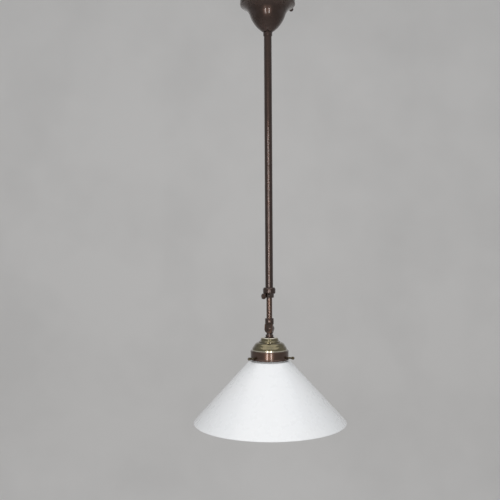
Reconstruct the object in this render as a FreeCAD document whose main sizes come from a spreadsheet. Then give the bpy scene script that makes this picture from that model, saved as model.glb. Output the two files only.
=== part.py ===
import FreeCAD, Part
import math
import os

import Sketcher
from FreeCAD import Placement, Rotation, Vector

# A rise and fall pendant: a bell canopy, two telescopic tubes with a lock collar, a knuckle and a
# gallery with an opal cone shade. Millimetres and degrees. The origin is on the ceiling, in the
# middle of the strap's screw holes, with +Z up. Azimuths are measured from +X towards +Y.

SIZES = {
    # Clearances
    "running_gap": 0.05,
    "screw_gap": 0.06,
    "loose_gap": 0.3,
    # Ceiling strap
    "strap_width": 22.0,
    "strap_sheet": 2.0,
    "strap_reach": 42.2,
    "ear_width": 14.0,
    "ear_drop": 12.4,
    "ceiling_hole_circle": 54.0,
    "ceiling_hole_radius": 2.6,
    "cable_hole_radius": 5.0,
    "strap_azimuth": 40.0,
    # Terminal block and earth screw
    "block_along": 11.0,
    "block_across": 24.0,
    "block_height": 11.0,
    "block_place": 13.5,
    "block_pitch": 8.0,
    "wire_hole_radius": 1.7,
    "terminal_screw_radius": 1.5,
    "block_screw_radius": 1.4,
    "block_screw_head": 2.3,
    "earth_place": 14.0,
    "earth_screw_radius": 2.0,
    "earth_head_radius": 3.8,
    "earth_head_height": 2.6,
    # Canopy
    "canopy_depth": 58.0,
    "canopy_radius": 45.0,
    "canopy_sheet": 1.2,
    "canopy_tip_radius": 7.2,
    "canopy_rim_gap": 0.5,
    "skirt_height": 13.5,
    "shoulder_radius": 29.5,
    "shoulder_height": 29.0,
    "cove_radius": 32.0,
    "cove_height": 34.0,
    "canopy_screw_drop": 8.8,
    "canopy_screw_radius": 2.0,
    "canopy_screw_ball": 3.7,
    "canopy_screw_ball_place": 53.0,
    # Tube top inside the canopy
    "seat_height": 4.6,
    "seat_top_radius": 10.9,
    "tube_nut_across": 17.0,
    "tube_nut_height": 3.5,
    "canopy_ring_radius": 7.4,
    "canopy_ring_height": 6.3,
    "end_bush_flange": 1.2,
    "end_bush_depth": 5.0,
    "end_bush_bore": 3.6,
    # Tubes: half inch outside, three eighths inside
    "outer_tube_radius": 6.35,
    "outer_tube_wall": 1.0,
    "outer_tube_length": 437.0,
    "tube_rise": 10.5,
    "inner_tube_radius": 4.7625,
    "inner_tube_wall": 0.9,
    "inner_tube_show": 33.7,
    "inner_tube_length": 419.0,
    "tube_azimuth": 250.0,
    # Lock collar and its clamp
    "collar_height": 17.0,
    "collar_seat_depth": 9.5,
    "collar_neck_radius": 7.75,
    "collar_neck_height": 5.8,
    "collar_belly_radius": 10.2,
    "collar_belly_height": 11.5,
    "collar_top_radius": 8.9,
    "clamp_azimuth": 218.0,
    "clamp_rise": 2.5,
    "clamp_screw_radius": 1.7,
    "clamp_pad_length": 1.5,
    "knob_radius": 4.7,
    "knob_start": 9.8,
    "knob_length": 4.0,
    # Slide bush on the inner tube
    "stop_ring_height": 3.0,
    "stop_ring_lip": 0.8,
    "slide_bush_height": 14.0,
    "bush_clip_height": 0.8,
    # Knuckle
    "boss_radius": 7.15,
    "boss_height": 10.1,
    "boss_drop": 7.5,
    "boss_seat_depth": 7.0,
    "cheek_radius": 7.1,
    "cheek_thickness": 4.2,
    "cheek_gap": 0.6,
    "wire_bore_radius": 2.6,
    "cavity_outer": 5.4,
    "cavity_inner": 3.3,
    "cavity_depth": 2.2,
    "pivot_radius": 1.9,
    "pivot_head_radius": 3.6,
    "pivot_head_height": 1.4,
    "pivot_slot_width": 0.9,
    "pivot_slot_depth": 0.8,
    "pivot_nut_across": 7.0,
    "pivot_nut_height": 2.4,
    "spring_washer_height": 0.7,
    "neck_radius": 4.75,
    "neck_height": 1.5,
    "neck_collar_radius": 6.45,
    "neck_collar_height": 4.1,
    "cap_washer_radius": 8.0,
    "cap_washer_height": 0.7,
    # Nipple and lock nut
    "nipple_radius": 5.0,
    "nipple_bore": 3.6,
    "nipple_grip": 3.8,
    "nipple_length": 14.4,
    "gallery_nut_across": 14.0,
    "gallery_nut_height": 2.8,
    # Gallery
    "cap_sheet": 0.9,
    "cap_height": 21.0,
    "cap_top_radius": 12.7,
    "cap_drum_radius": 14.6,
    "cap_drum_foot": 17.0,
    "cap_bead_radius": 17.4,
    "cap_bead_foot": 13.4,
    "cap_dome_radius": 24.9,
    "cap_dome_foot": 8.7,
    "cap_foot_radius": 28.6,
    "ring_sheet": 1.0,
    "ring_radius": 31.2,
    "ring_height": 14.6,
    "ring_flange_radius": 24.5,
    "ring_bead_radius": 32.0,
    "ring_bead_height": 2.4,
    "shade_screw_rise": 3.9,
    "shade_screw_radius": 1.6,
    "shade_screw_tip": 26.3,
    "shade_screw_end": 43.2,
    "shade_screw_head": 2.4,
    "shade_screw_head_length": 4.6,
    "shade_screw_azimuth": 335.5,
    # Shade
    "shade_radius": 125.0,
    "shade_height": 112.3,
    "glass": 3.0,
    "lip_radius": 28.5,
    "lip_height": 4.4,
    "glass_neck_radius": 26.0,
    "cone_start_radius": 33.0,
    "cone_start_drop": 12.25,
    # Lampholder
    "holder_cap_radius": 14.0,
    "holder_cap_height": 16.0,
    "holder_cap_sheet": 1.0,
    "holder_cap_neck": 6.6,
    "holder_skirt_height": 6.0,
    "union_radius": 15.6,
    "union_lip": 1.0,
    "union_overlap": 3.0,
    "core_radius": 12.4,
    "core_height": 13.0,
    "plunger_spacing": 11.2,
    "plunger_head_radius": 2.4,
    "plunger_head_length": 7.0,
    "plunger_stem_radius": 1.1,
    "plunger_out": 4.0,
    "spring_wire_radius": 0.28,
    "spring_radius": 1.85,
    "spring_room": 6.4,
    "barrel_bore": 11.15,
    "barrel_sheet": 0.9,
    "barrel_height": 20.0,
    "barrel_bore_depth": 15.0,
    "barrel_flange_radius": 13.6,
    "barrel_flange_height": 1.6,
    "slot_width": 3.2,
    "slot_height": 9.0,
    "slot_shift": 5.0,
    "terminal_post": 4.0,
    "terminal_post_height": 4.0,
    "terminal_post_along": 4.2,
    "terminal_post_aside": 5.0,
    "terminal_wire_radius": 1.0,
    "holder_screw_radius": 1.1,
}

# The swell of a quarter circle: its rise over its chord
QUARTER = math.tan(math.pi / 8) / 2

doc = FreeCAD.newDocument("RiseAndFallPendant")
sheet = doc.addObject("Spreadsheet::Sheet", "Sizes")


class Size:
    """A number together with the sheet expression that it comes from."""

    def __init__(self, value, text):
        self.value = float(value)
        self.text = text

    def __add__(self, other):
        other = as_size(other)
        return Size(self.value + other.value, "(%s + %s)" % (self.text, other.text))

    def __sub__(self, other):
        other = as_size(other)
        return Size(self.value - other.value, "(%s - %s)" % (self.text, other.text))

    def __mul__(self, other):
        other = as_size(other)
        return Size(self.value * other.value, "(%s * %s)" % (self.text, other.text))

    def __truediv__(self, other):
        other = as_size(other)
        return Size(self.value / other.value, "(%s / %s)" % (self.text, other.text))

    def __neg__(self):
        return self * -1

    def __radd__(self, other):
        return as_size(other) + self

    def __rsub__(self, other):
        return as_size(other) - self

    def __rmul__(self, other):
        return as_size(other) * self

    def root(self):
        return Size(math.sqrt(self.value), "sqrt(%s)" % self.text)


def as_size(item):
    return item if isinstance(item, Size) else Size(item, "%.9g" % item)


class SheetSizes:
    """The driving dimensions, written to the sheet and read back by their names."""

    def __init__(self, sizes):
        for row, (name, value) in enumerate(sizes.items(), start=1):
            sheet.set("A%d" % row, name)
            sheet.set("B%d" % row, "%.9g" % value)
            sheet.setAlias("B%d" % row, name)
            setattr(self, name, Size(value, "Sizes." + name))


S = SheetSizes(SIZES)
doc.recompute()


# Document helpers

def new_body(label):
    body = doc.addObject("PartDesign::Body", label)
    body.Label = label
    return body


def datum(body, role):
    return next(item for item in body.Origin.OriginFeatures if item.Role == role)


def bind(item, path, value):
    """Sets one property of a feature to a size from the sheet."""
    item.setExpression(path, as_size(value).text)


def new_sketch(body, role, offset=None):
    """A sketch on one of the body's own origin planes, moved along its normal by offset."""
    sketch = body.newObject("Sketcher::SketchObject", body.Label + "_sketch")
    sketch.AttachmentSupport = (datum(body, role), [""])
    sketch.MapMode = "FlatFace"
    if offset is not None:
        sketch.AttachmentOffset = Placement(Vector(0, 0, as_size(offset).value), Rotation())
        bind(sketch, "AttachmentOffset.Base.z", offset)
    return sketch


def fix_point(sketch, line, end, x, y):
    """Holds one point of a sketch at x, y, each bound to its size."""
    for axis, kind, value in ((-2, "DistanceX", x), (-1, "DistanceY", y)):
        if value.value == 0:
            sketch.addConstraint(Sketcher.Constraint("PointOnObject", line, end, axis))
        else:
            index = sketch.addConstraint(Sketcher.Constraint(kind, -1, 1, line, end, value.value))
            bind(sketch, "Constraints[%d]" % index, value)


def draw_outline(sketch, points):
    """A closed outline through points (x, y), or (x, y, swell) where an arc leads to the point.

    swell is the arc's rise over its chord. On an outline that runs anticlockwise a positive swell
    bulges outwards.
    """
    spots = [(as_size(point[0]), as_size(point[1])) for point in points]
    swells = [point[2] if len(point) > 2 else 0 for point in points]
    count = len(points)
    first = sketch.GeometryCount
    ends = []
    for index in range(count):
        after = (index + 1) % count
        start = Vector(spots[index][0].value, spots[index][1].value, 0)
        end = Vector(spots[after][0].value, spots[after][1].value, 0)
        swell = swells[after]
        if swell == 0:
            sketch.addGeometry(Part.LineSegment(start, end), False)
            ends.append((1, 2))
            continue
        chord = end - start
        middle = (start + end) / 2 + Vector(chord.y, -chord.x, 0) * swell
        if swell > 0:
            sketch.addGeometry(Part.Arc(start, middle, end), False)
            ends.append((1, 2))
        else:
            sketch.addGeometry(Part.Arc(end, middle, start), False)
            ends.append((2, 1))
    for index in range(count):
        after = (index + 1) % count
        sketch.addConstraint(Sketcher.Constraint(
            "Coincident", first + index, ends[index][1], first + after, ends[after][0]))
        fix_point(sketch, first + index, ends[index][0], *spots[index])
        if swells[after] != 0:
            across = spots[after][0] - spots[index][0]
            along = spots[after][1] - spots[index][1]
            chord = (across * across + along * along).root()
            radius = chord * ((1 + 4 * swells[after] ** 2) / (8 * abs(swells[after])))
            datum_index = sketch.addConstraint(
                Sketcher.Constraint("Radius", first + index, radius.value))
            bind(sketch, "Constraints[%d]" % datum_index, radius)


def draw_circle(sketch, x, y, radius):
    x, y, radius = as_size(x), as_size(y), as_size(radius)
    index = sketch.addGeometry(Part.Circle(Vector(x.value, y.value, 0), Vector(0, 0, 1), radius.value))
    fix_point(sketch, index, 3, x, y)
    number = sketch.addConstraint(Sketcher.Constraint("Radius", index, radius.value))
    bind(sketch, "Constraints[%d]" % number, radius)


def draw_box(sketch, low_x, low_y, high_x, high_y):
    draw_outline(sketch, [(low_x, low_y), (high_x, low_y), (high_x, high_y), (low_x, high_y)])


def draw_hexagon(sketch, across_flats):
    corner = across_flats / math.sqrt(3)
    turns = [math.radians(60 * step) for step in range(6)]
    draw_outline(sketch, [(corner * round(math.cos(turn), 9), corner * round(math.sin(turn), 9))
                          for turn in turns])


def turned(body, points, axis="V_Axis"):
    """A turned solid: the outline spun about the body's Z axis, or its X axis for H_Axis."""
    sketch = new_sketch(body, "XZ_Plane")
    draw_outline(sketch, points)
    spin = body.newObject("PartDesign::Revolution", body.Label + "_turned")
    spin.Profile = sketch
    spin.ReferenceAxis = (sketch, [axis])
    spin.Angle = 360
    doc.recompute()
    return spin


def grooved(body, points, axis="V_Axis"):
    """A turned cut."""
    sketch = new_sketch(body, "XZ_Plane")
    draw_outline(sketch, points)
    before = body.Shape.Volume
    cut = body.newObject("PartDesign::Groove", body.Label + "_groove")
    cut.Profile = sketch
    cut.ReferenceAxis = (sketch, [axis])
    cut.Angle = 360
    check_cut(body, before)
    return cut


def check_cut(body, before):
    doc.recompute()
    if not body.Shape.Volume < before - 1e-6:
        raise RuntimeError("a cut in %s takes nothing away" % body.Label)


def padded(body, sketch, length, reverse=False):
    pad = body.newObject("PartDesign::Pad", body.Label + "_pad")
    pad.Profile = sketch
    pad.Length = as_size(length).value
    bind(pad, "Length", length)
    pad.Reversed = reverse
    doc.recompute()
    return pad


def pocketed(body, sketch, length=None, reverse=False):
    """A pocket of the given depth, or right through where no depth is given."""
    before = body.Shape.Volume
    pocket = body.newObject("PartDesign::Pocket", body.Label + "_pocket")
    pocket.Profile = sketch
    pocket.Reversed = reverse
    if length is None:
        pocket.Type = "ThroughAll"
    else:
        pocket.Length = as_size(length).value
        bind(pocket, "Length", length)
    check_cut(body, before)
    return pocket


def repeated_round(body, feature, count):
    """Repeats a feature count times round the body's Z axis."""
    pattern = body.newObject("PartDesign::PolarPattern", body.Label + "_pattern")
    pattern.Originals = [feature]
    pattern.Axis = (datum(body, "Z_Axis"), [""])
    pattern.Angle = 360
    pattern.Occurrences = count
    body.Tip = pattern
    doc.recompute()
    return pattern


def place(body, level=0, azimuth=0):
    """Puts a body at its level on the lamp's axis, turned to its azimuth."""
    level, azimuth = as_size(level), as_size(azimuth)
    body.Placement = Placement(
        Vector(0, 0, level.value), Rotation(Vector(0, 0, 1), azimuth.value))
    bind(body, "Placement.Base.z", level)
    bind(body, "Placement.Rotation.Angle", azimuth)


def place_at(body, x, y, level, azimuth):
    """Puts a body off the lamp's axis, x and y being measured in the turned frame."""
    x, y, level, azimuth = as_size(x), as_size(y), as_size(level), as_size(azimuth)
    turn = Rotation(Vector(0, 0, 1), azimuth.value)
    spot = turn.multVec(Vector(x.value, y.value, 0))
    body.Placement = Placement(Vector(spot.x, spot.y, level.value), turn)
    cosine, sine = "cos(%s)" % azimuth.text, "sin(%s)" % azimuth.text
    body.setExpression("Placement.Base.x", "%s * %s - %s * %s" % (x.text, cosine, y.text, sine))
    body.setExpression("Placement.Base.y", "%s * %s + %s * %s" % (x.text, sine, y.text, cosine))
    bind(body, "Placement.Base.z", level)
    bind(body, "Placement.Rotation.Angle", azimuth)


# Levels down the lamp, each worked out from the one above it

canopy_tip = -S.canopy_depth
tube_top = canopy_tip + S.tube_rise
tube_foot = tube_top - S.outer_tube_length
collar_foot = tube_foot + S.collar_seat_depth - S.collar_height
clamp_level = collar_foot + S.clamp_rise
boss_top = collar_foot - S.inner_tube_show
boss_foot = boss_top - S.boss_height
pivot_level = boss_foot - S.boss_drop
inner_foot = boss_top - S.boss_seat_depth
inner_top = inner_foot + S.inner_tube_length
neck_top = pivot_level - S.boss_drop
neck_collar_top = neck_top - S.neck_height
neck_collar_foot = neck_collar_top - S.neck_collar_height
cap_top = neck_collar_foot - S.cap_washer_height
cap_foot = cap_top - S.cap_height
ring_foot = cap_foot - S.ring_height
shade_screw_level = ring_foot + S.shade_screw_rise
nipple_foot = neck_collar_foot + S.nipple_grip - S.nipple_length
gallery_nut_top = cap_top - S.cap_sheet
holder_top = gallery_nut_top - S.gallery_nut_height
holder_cap_foot = holder_top - S.holder_cap_height
lip_foot = shade_screw_level + S.shade_screw_radius + S.running_gap
lip_top = lip_foot + S.lip_height
shade_foot = lip_top - S.shade_height
inner_bore = S.inner_tube_radius - S.inner_tube_wall
outer_bore = S.outer_tube_radius - S.outer_tube_wall
guide_bore = S.inner_tube_radius + S.running_gap
stop_ring_foot = inner_top - S.stop_ring_height + S.stop_ring_lip
slide_bush_foot = stop_ring_foot - S.running_gap - S.slide_bush_height


# Ceiling strap and its wiring parts

def make_strap():
    """A crossbar with two ceiling holes, a cable hole and bent ears tapped for the canopy screws."""
    body = new_body("ceiling_strap")
    plate = new_sketch(body, "XY_Plane")
    half = S.strap_width / 2
    draw_box(plate, -S.strap_reach, -S.ear_width / 2, S.strap_reach, S.ear_width / 2)
    padded(body, plate, S.strap_sheet, reverse=True)
    middle = new_sketch(body, "XY_Plane")
    waist = S.strap_reach - S.ear_width / 2
    draw_box(middle, -waist, -half, waist, half)
    padded(body, middle, S.strap_sheet, reverse=True)
    for side in (-1, 1):
        ear = new_sketch(body, "YZ_Plane", side * S.strap_reach)
        draw_box(ear, -S.ear_width / 2, -S.ear_drop, S.ear_width / 2, 0)
        padded(body, ear, S.strap_sheet, reverse=side > 0)
    holes = new_sketch(body, "XY_Plane")
    draw_circle(holes, 0, 0, S.cable_hole_radius)
    for side in (-1, 1):
        draw_circle(holes, side * S.ceiling_hole_circle / 2, 0, S.ceiling_hole_radius)
    draw_circle(holes, -S.earth_place, 0, S.earth_screw_radius)
    draw_circle(holes, S.block_place, 0, S.block_screw_radius)
    pocketed(body, holes)
    tapped = new_sketch(body, "YZ_Plane")
    draw_circle(tapped, 0, -S.canopy_screw_drop, S.canopy_screw_radius + S.screw_gap)
    for reverse in (False, True):
        pocketed(body, tapped, reverse=reverse)
    place(body, 0, S.strap_azimuth)
    return body


def make_block():
    """A three-way terminal block under the strap, with cross holes for the wires."""
    body = new_body("terminal_block")
    half_along, half_across = S.block_along / 2, S.block_across / 2
    base = new_sketch(body, "XY_Plane")
    draw_box(base, -half_along, -half_across, half_along, half_across)
    padded(body, base, S.block_height, reverse=True)
    wires = new_sketch(body, "YZ_Plane")
    for way in (-1, 0, 1):
        if way:
            draw_circle(wires, way * S.block_pitch, -S.block_height * 0.55, S.wire_hole_radius)
    for reverse in (False, True):
        pocketed(body, wires, reverse=reverse)
    screws = new_sketch(body, "XY_Plane")
    for way in (-1, 1):
        for side in (-1, 1):
            draw_circle(screws, side * S.block_along / 4, way * S.block_pitch,
                        S.terminal_screw_radius + S.screw_gap)
    draw_circle(screws, 0, 0, S.block_screw_radius + S.screw_gap)
    pocketed(body, screws)
    place_at(body, S.block_place, 0, -S.strap_sheet, S.strap_azimuth)
    return body


def make_terminal_screws():
    """The four clamping screws of the terminal block, seen from below."""
    body = new_body("terminal_screws")
    drop = S.block_height * 0.55 + S.wire_hole_radius
    spots = new_sketch(body, "XY_Plane", -S.block_height)
    for way in (-1, 1):
        for side in (-1, 1):
            draw_circle(spots, side * S.block_along / 4, way * S.block_pitch,
                        S.terminal_screw_radius)
    body.AllowCompound = True
    padded(body, spots, S.block_height - drop - S.screw_gap)
    place_at(body, S.block_place, 0, -S.strap_sheet, S.strap_azimuth)
    return body


def make_block_screw():
    """The screw that holds the terminal block up to the strap."""
    body = new_body("block_screw")
    low = S.block_screw_head
    high = low + S.block_height + S.strap_sheet
    turned(body, [(0, 0), (S.block_screw_head, 0), (S.block_screw_head, low),
                  (S.block_screw_radius, low), (S.block_screw_radius, high), (0, high)])
    place_at(body, S.block_place, 0, -high, S.strap_azimuth)
    return body


def make_earth_screw():
    body = new_body("earth_screw")
    low = S.earth_head_height
    high = low + S.strap_sheet
    turned(body, [(0, 0), (S.earth_head_radius * 0.8, 0), (S.earth_head_radius, low / 2, 0.15),
                  (S.earth_head_radius, low), (S.earth_screw_radius, low),
                  (S.earth_screw_radius, high), (0, high)])
    slot = new_sketch(body, "XY_Plane")
    draw_box(slot, -S.earth_head_radius, -S.pivot_slot_width / 2,
             S.earth_head_radius, S.pivot_slot_width / 2)
    pocketed(body, slot, S.pivot_slot_depth, reverse=True)
    place_at(body, -S.earth_place, 0, -high, S.strap_azimuth)
    return body


# Canopy

def make_canopy():
    """A spun bell: a skirt, a cove, a swelling bell and the hole for the tube at its tip."""
    body = new_body("canopy")
    skin = S.canopy_sheet
    top = S.canopy_depth - S.canopy_rim_gap
    skirt_foot = top - S.skirt_height
    hole = S.outer_tube_radius + S.running_gap
    turned(body, [
        (hole, 0), (S.canopy_tip_radius, 0),
        (S.shoulder_radius, S.shoulder_height, 0.09),
        (S.cove_radius, S.cove_height),
        (S.canopy_radius, skirt_foot, -0.08),
        (S.canopy_radius, top), (S.canopy_radius - skin, top),
        (S.canopy_radius - skin, skirt_foot + skin),
        (S.cove_radius - skin, S.cove_height + skin, 0.08),
        (S.shoulder_radius - skin, S.shoulder_height + skin),
        (hole, skin, -0.09)])
    screw_hole = new_sketch(body, "YZ_Plane")
    draw_circle(screw_hole, 0, S.canopy_depth - S.canopy_screw_drop,
                S.canopy_screw_radius + S.screw_gap)
    hole_cut = pocketed(body, screw_hole, reverse=True)
    repeated_round(body, hole_cut, 2)
    place(body, canopy_tip, S.strap_azimuth)
    return body


def make_canopy_screw(label, azimuth):
    """A ball-ended side screw: it runs through the canopy's skirt into an ear of the strap."""
    body = new_body(label)
    start = S.strap_reach - S.strap_sheet - 1
    stop = S.canopy_radius + S.loose_gap
    ball = S.canopy_screw_ball
    ball_start = S.canopy_screw_ball_place - ball * 0.8
    ball_end = S.canopy_screw_ball_place + ball
    neck = S.canopy_screw_radius * 0.9
    turned(body, [
        (start, 0), (ball_end, 0), (ball_start, ball * 0.6, 0.38),
        (stop + 1.6, neck), (stop + 1.6, S.canopy_screw_radius * 1.5), (stop, S.canopy_screw_radius * 1.5),
        (stop, S.canopy_screw_radius), (start, S.canopy_screw_radius)], axis="H_Axis")
    place(body, -S.canopy_screw_drop, azimuth)
    return body


# Tube top

def make_canopy_seat():
    """A turned cone washer that centres the tube in the bell's tip."""
    body = new_body("canopy_seat")
    hole = S.outer_tube_radius + S.running_gap
    turned(body, [(hole, 0), (hole + 0.4, 0), (S.seat_top_radius, S.seat_height * 0.85, 0.06),
                  (S.seat_top_radius, S.seat_height), (hole, S.seat_height)])
    place(body, canopy_tip + S.canopy_sheet + S.loose_gap)
    return body


def make_canopy_nut():
    body = new_body("canopy_nut")
    flat = new_sketch(body, "XY_Plane")
    draw_hexagon(flat, S.tube_nut_across)
    draw_circle(flat, 0, 0, S.outer_tube_radius)
    padded(body, flat, S.tube_nut_height)
    place(body, canopy_tip + S.canopy_sheet + S.loose_gap + S.seat_height, S.strap_azimuth)
    return body


def make_canopy_ring():
    """The turned ring on the tube, close under the bell."""
    body = new_body("canopy_ring")
    high = S.canopy_ring_height
    wide = S.canopy_ring_radius
    turned(body, [(S.outer_tube_radius, 0), (wide - 0.7, 0), (wide, 0.7), (wide, high - 0.7),
                  (wide - 0.7, high), (S.outer_tube_radius, high)])
    place(body, canopy_tip - high)
    return body


def make_end_bush():
    """The insulating bush that guards the flex at the tube's top."""
    body = new_body("end_bush")
    flange = S.end_bush_flange
    deep = S.end_bush_depth
    turned(body, [(S.end_bush_bore, 0), (outer_bore - S.running_gap, 0),
                  (outer_bore - S.running_gap, deep), (S.outer_tube_radius, deep),
                  (S.outer_tube_radius, deep + flange), (S.end_bush_bore + flange, deep + flange),
                  (S.end_bush_bore, deep)])
    place(body, tube_top - deep)
    return body


# Tubes, lock collar and clamp

def make_tube(label, radius, wall, length, foot, azimuth=0):
    body = new_body(label)
    ring = new_sketch(body, "XY_Plane")
    draw_circle(ring, 0, 0, radius)
    draw_circle(ring, 0, 0, radius - wall)
    padded(body, ring, length)
    place(body, foot, azimuth)
    return body


def make_collar():
    """The lock collar: a belly round the outer tube's foot and a neck that guides the inner tube."""
    body = new_body("lock_collar")
    step = S.collar_height - S.collar_seat_depth
    neck, high = S.collar_neck_radius, S.collar_neck_height
    belly, tall = S.collar_belly_radius, S.collar_height
    turned(body, [
        (guide_bore, 0), (neck - 0.5, 0), (neck, 0.5), (neck, high),
        (belly, S.collar_belly_height - 1.6, 0.22), (belly, S.collar_belly_height),
        (S.collar_top_radius, tall - 0.6, 0.12), (S.outer_tube_radius, tall),
        (S.outer_tube_radius, step), (guide_bore, step)])
    tapped = new_sketch(body, "YZ_Plane")
    draw_circle(tapped, 0, S.clamp_rise, S.clamp_screw_radius + S.screw_gap)
    pocketed(body, tapped, reverse=True)
    place(body, collar_foot, S.clamp_azimuth)
    return body


def make_clamp_pad():
    """The brass pad that the clamp screw presses on the inner tube."""
    body = new_body("clamp_pad")
    start = S.inner_tube_radius + S.running_gap * 2
    wide = S.clamp_screw_radius - S.screw_gap
    turned(body, [(start, 0), (start + S.clamp_pad_length, 0), (start + S.clamp_pad_length, wide),
                  (start + 0.4, wide), (start, wide - 0.4)], axis="H_Axis")
    place(body, clamp_level, S.clamp_azimuth)
    return body


def make_clamp_screw():
    """The thumbscrew: a threaded shank through the collar's neck and a round knob."""
    body = new_body("clamp_screw")
    start = S.inner_tube_radius + S.running_gap * 3 + S.clamp_pad_length
    knob, end = S.knob_start, S.knob_start + S.knob_length
    wide = S.knob_radius
    turned(body, [
        (start, 0), (end + 0.5, 0), (end, wide - 1.0), (end - 0.7, wide),
        (knob + 0.7, wide), (knob, wide - 0.7), (knob, wide * 0.55),
        (knob - 0.8, S.clamp_screw_radius * 1.25), (S.collar_neck_radius + S.loose_gap,
                                                    S.clamp_screw_radius * 1.25),
        (S.collar_neck_radius + S.loose_gap, S.clamp_screw_radius), (start, S.clamp_screw_radius)],
        axis="H_Axis")
    place(body, clamp_level, S.clamp_azimuth)
    return body


def make_stop_ring():
    """The ring on the inner tube's top end that holds the slide bush on."""
    body = new_body("stop_ring")
    wide = outer_bore - S.loose_gap
    turned(body, [(S.inner_tube_radius, 0), (wide, 0), (wide, S.stop_ring_height - 0.2),
                  (wide - 0.2, S.stop_ring_height), (inner_bore, S.stop_ring_height),
                  (inner_bore, S.stop_ring_height - S.stop_ring_lip),
                  (S.inner_tube_radius, S.stop_ring_height - S.stop_ring_lip)])
    place(body, stop_ring_foot, S.tube_azimuth)
    return body


def make_slide_bush():
    """The bush that centres and stops the inner tube's top in the outer tube."""
    body = new_body("slide_bush")
    high = S.slide_bush_height
    turned(body, [(guide_bore, 0), (outer_bore - S.running_gap, 0),
                  (outer_bore - S.running_gap, high), (guide_bore, high)])
    place(body, slide_bush_foot)
    return body


def make_bush_clip():
    """The wire clip under the slide bush."""
    body = new_body("bush_clip")
    wide = outer_bore - S.loose_gap
    turned(body, [(S.inner_tube_radius, 0), (wide, 0), (wide, S.bush_clip_height),
                  (S.inner_tube_radius, S.bush_clip_height)])
    place(body, slide_bush_foot - S.bush_clip_height - S.running_gap, S.tube_azimuth)
    return body


# Knuckle. The local X axis is the pivot, pointing towards the screw's head.

def make_knuckle_half(label, side):
    """One half of the knuckle: a turned boss or neck and a cheek with a wireway round the pivot.

    side is 1 for the upper half, on the head's side, and -1 for the lower half.
    """
    body = new_body(label)
    gap = S.cheek_gap / 2
    base = S.boss_drop
    if side > 0:
        high = base + S.boss_height
        wide = S.boss_radius
        seat = high - S.boss_seat_depth
        turned(body, [
            (S.wire_bore_radius, base), (wide - 0.7, base), (wide, base + 0.7),
            (wide, high - 0.7), (wide - 0.7, high), (S.inner_tube_radius, high),
            (S.inner_tube_radius, seat), (S.wire_bore_radius, seat)])
    else:
        neck_foot = base + S.neck_height
        foot = neck_foot + S.neck_collar_height
        wide = S.neck_collar_radius
        socket = foot - S.nipple_grip
        turned(body, [
            (S.wire_bore_radius, -socket), (S.nipple_radius, -socket), (S.nipple_radius, -foot),
            (wide - 0.5, -foot), (wide, -(foot - 0.5)), (wide, -(neck_foot + 0.5)),
            (wide - 0.5, -neck_foot), (S.neck_radius, -neck_foot), (S.neck_radius, -base),
            (S.wire_bore_radius, -base)])
    reach = side * (base + 0.4)
    width = S.cheek_radius
    shoulder = S.neck_radius if side < 0 else S.cheek_radius * 0.93
    cheek = new_sketch(body, "YZ_Plane", side * gap)
    if side > 0:
        draw_outline(cheek, [(-width, 0), (0, -width, QUARTER), (width, 0, QUARTER),
                             (shoulder, reach), (-shoulder, reach)])
    else:
        draw_outline(cheek, [(width, 0), (0, width, QUARTER), (-width, 0, QUARTER),
                             (-shoulder, reach), (shoulder, reach)])
    padded(body, cheek, S.cheek_thickness, reverse=side < 0)
    inner = side * gap
    floor = side * (gap + S.cavity_depth)
    cavity = [(inner, S.cavity_inner), (floor, S.cavity_inner), (floor, S.cavity_outer),
              (inner, S.cavity_outer)]
    grooved(body, cavity if side > 0 else cavity[::-1], axis="H_Axis")
    for direction in (1, -1):
        port = new_sketch(body, "YZ_Plane", inner)
        low, high = direction * S.cavity_inner * 1.1, direction * (base + 0.2)
        half = S.wire_bore_radius
        if direction > 0:
            draw_box(port, -half, low, half, high)
        else:
            draw_box(port, -half, high, half, low)
        pocketed(body, port, S.cavity_depth, reverse=side > 0)
    pivot = new_sketch(body, "YZ_Plane")
    draw_circle(pivot, 0, 0, S.pivot_radius + S.running_gap)
    pocketed(body, pivot, reverse=side > 0)
    place(body, pivot_level, S.tube_azimuth)
    return body


def make_friction_washer():
    """The fibre washer between the knuckle's two halves."""
    body = new_body("friction_washer")
    gap = S.cheek_gap / 2 - S.running_gap
    turned(body, [(-gap, S.pivot_radius + S.running_gap), (gap, S.pivot_radius + S.running_gap),
                  (gap, S.cavity_inner), (-gap, S.cavity_inner)], axis="H_Axis")
    place(body, pivot_level, S.tube_azimuth)
    return body


cheek_face = S.cheek_gap / 2 + S.cheek_thickness


def make_pivot_screw():
    """The slotted pivot screw: domed head on the front cheek, shank out through the back one."""
    body = new_body("pivot_screw")
    head = S.pivot_head_radius
    top = cheek_face + S.pivot_head_height
    end = -(cheek_face + S.spring_washer_height + S.pivot_nut_height + 0.8 + S.running_gap)
    turned(body, [
        (end, 0), (top, 0), (top - 0.6, head, 0.08), (cheek_face, head),
        (cheek_face, S.pivot_radius), (end, S.pivot_radius)], axis="H_Axis")
    slot = new_sketch(body, "YZ_Plane", top - S.pivot_slot_depth)
    draw_box(slot, -head, -S.pivot_slot_width / 2, head, S.pivot_slot_width / 2)
    pocketed(body, slot, reverse=True)
    place(body, pivot_level, S.tube_azimuth)
    return body


def make_spring_washer():
    body = new_body("spring_washer")
    start = -(cheek_face + S.running_gap)
    end = start - S.spring_washer_height
    turned(body, [(end, S.pivot_radius), (start, S.pivot_radius), (start, S.pivot_head_radius),
                  (end, S.pivot_head_radius)], axis="H_Axis")
    place(body, pivot_level, S.tube_azimuth)
    return body


def make_pivot_nut():
    body = new_body("pivot_nut")
    start = -(cheek_face + S.running_gap + S.spring_washer_height)
    flat = new_sketch(body, "YZ_Plane", start)
    draw_hexagon(flat, S.pivot_nut_across)
    draw_circle(flat, 0, 0, S.pivot_radius)
    padded(body, flat, S.pivot_nut_height, reverse=True)
    place(body, pivot_level, S.tube_azimuth)
    return body


# Gallery

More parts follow.
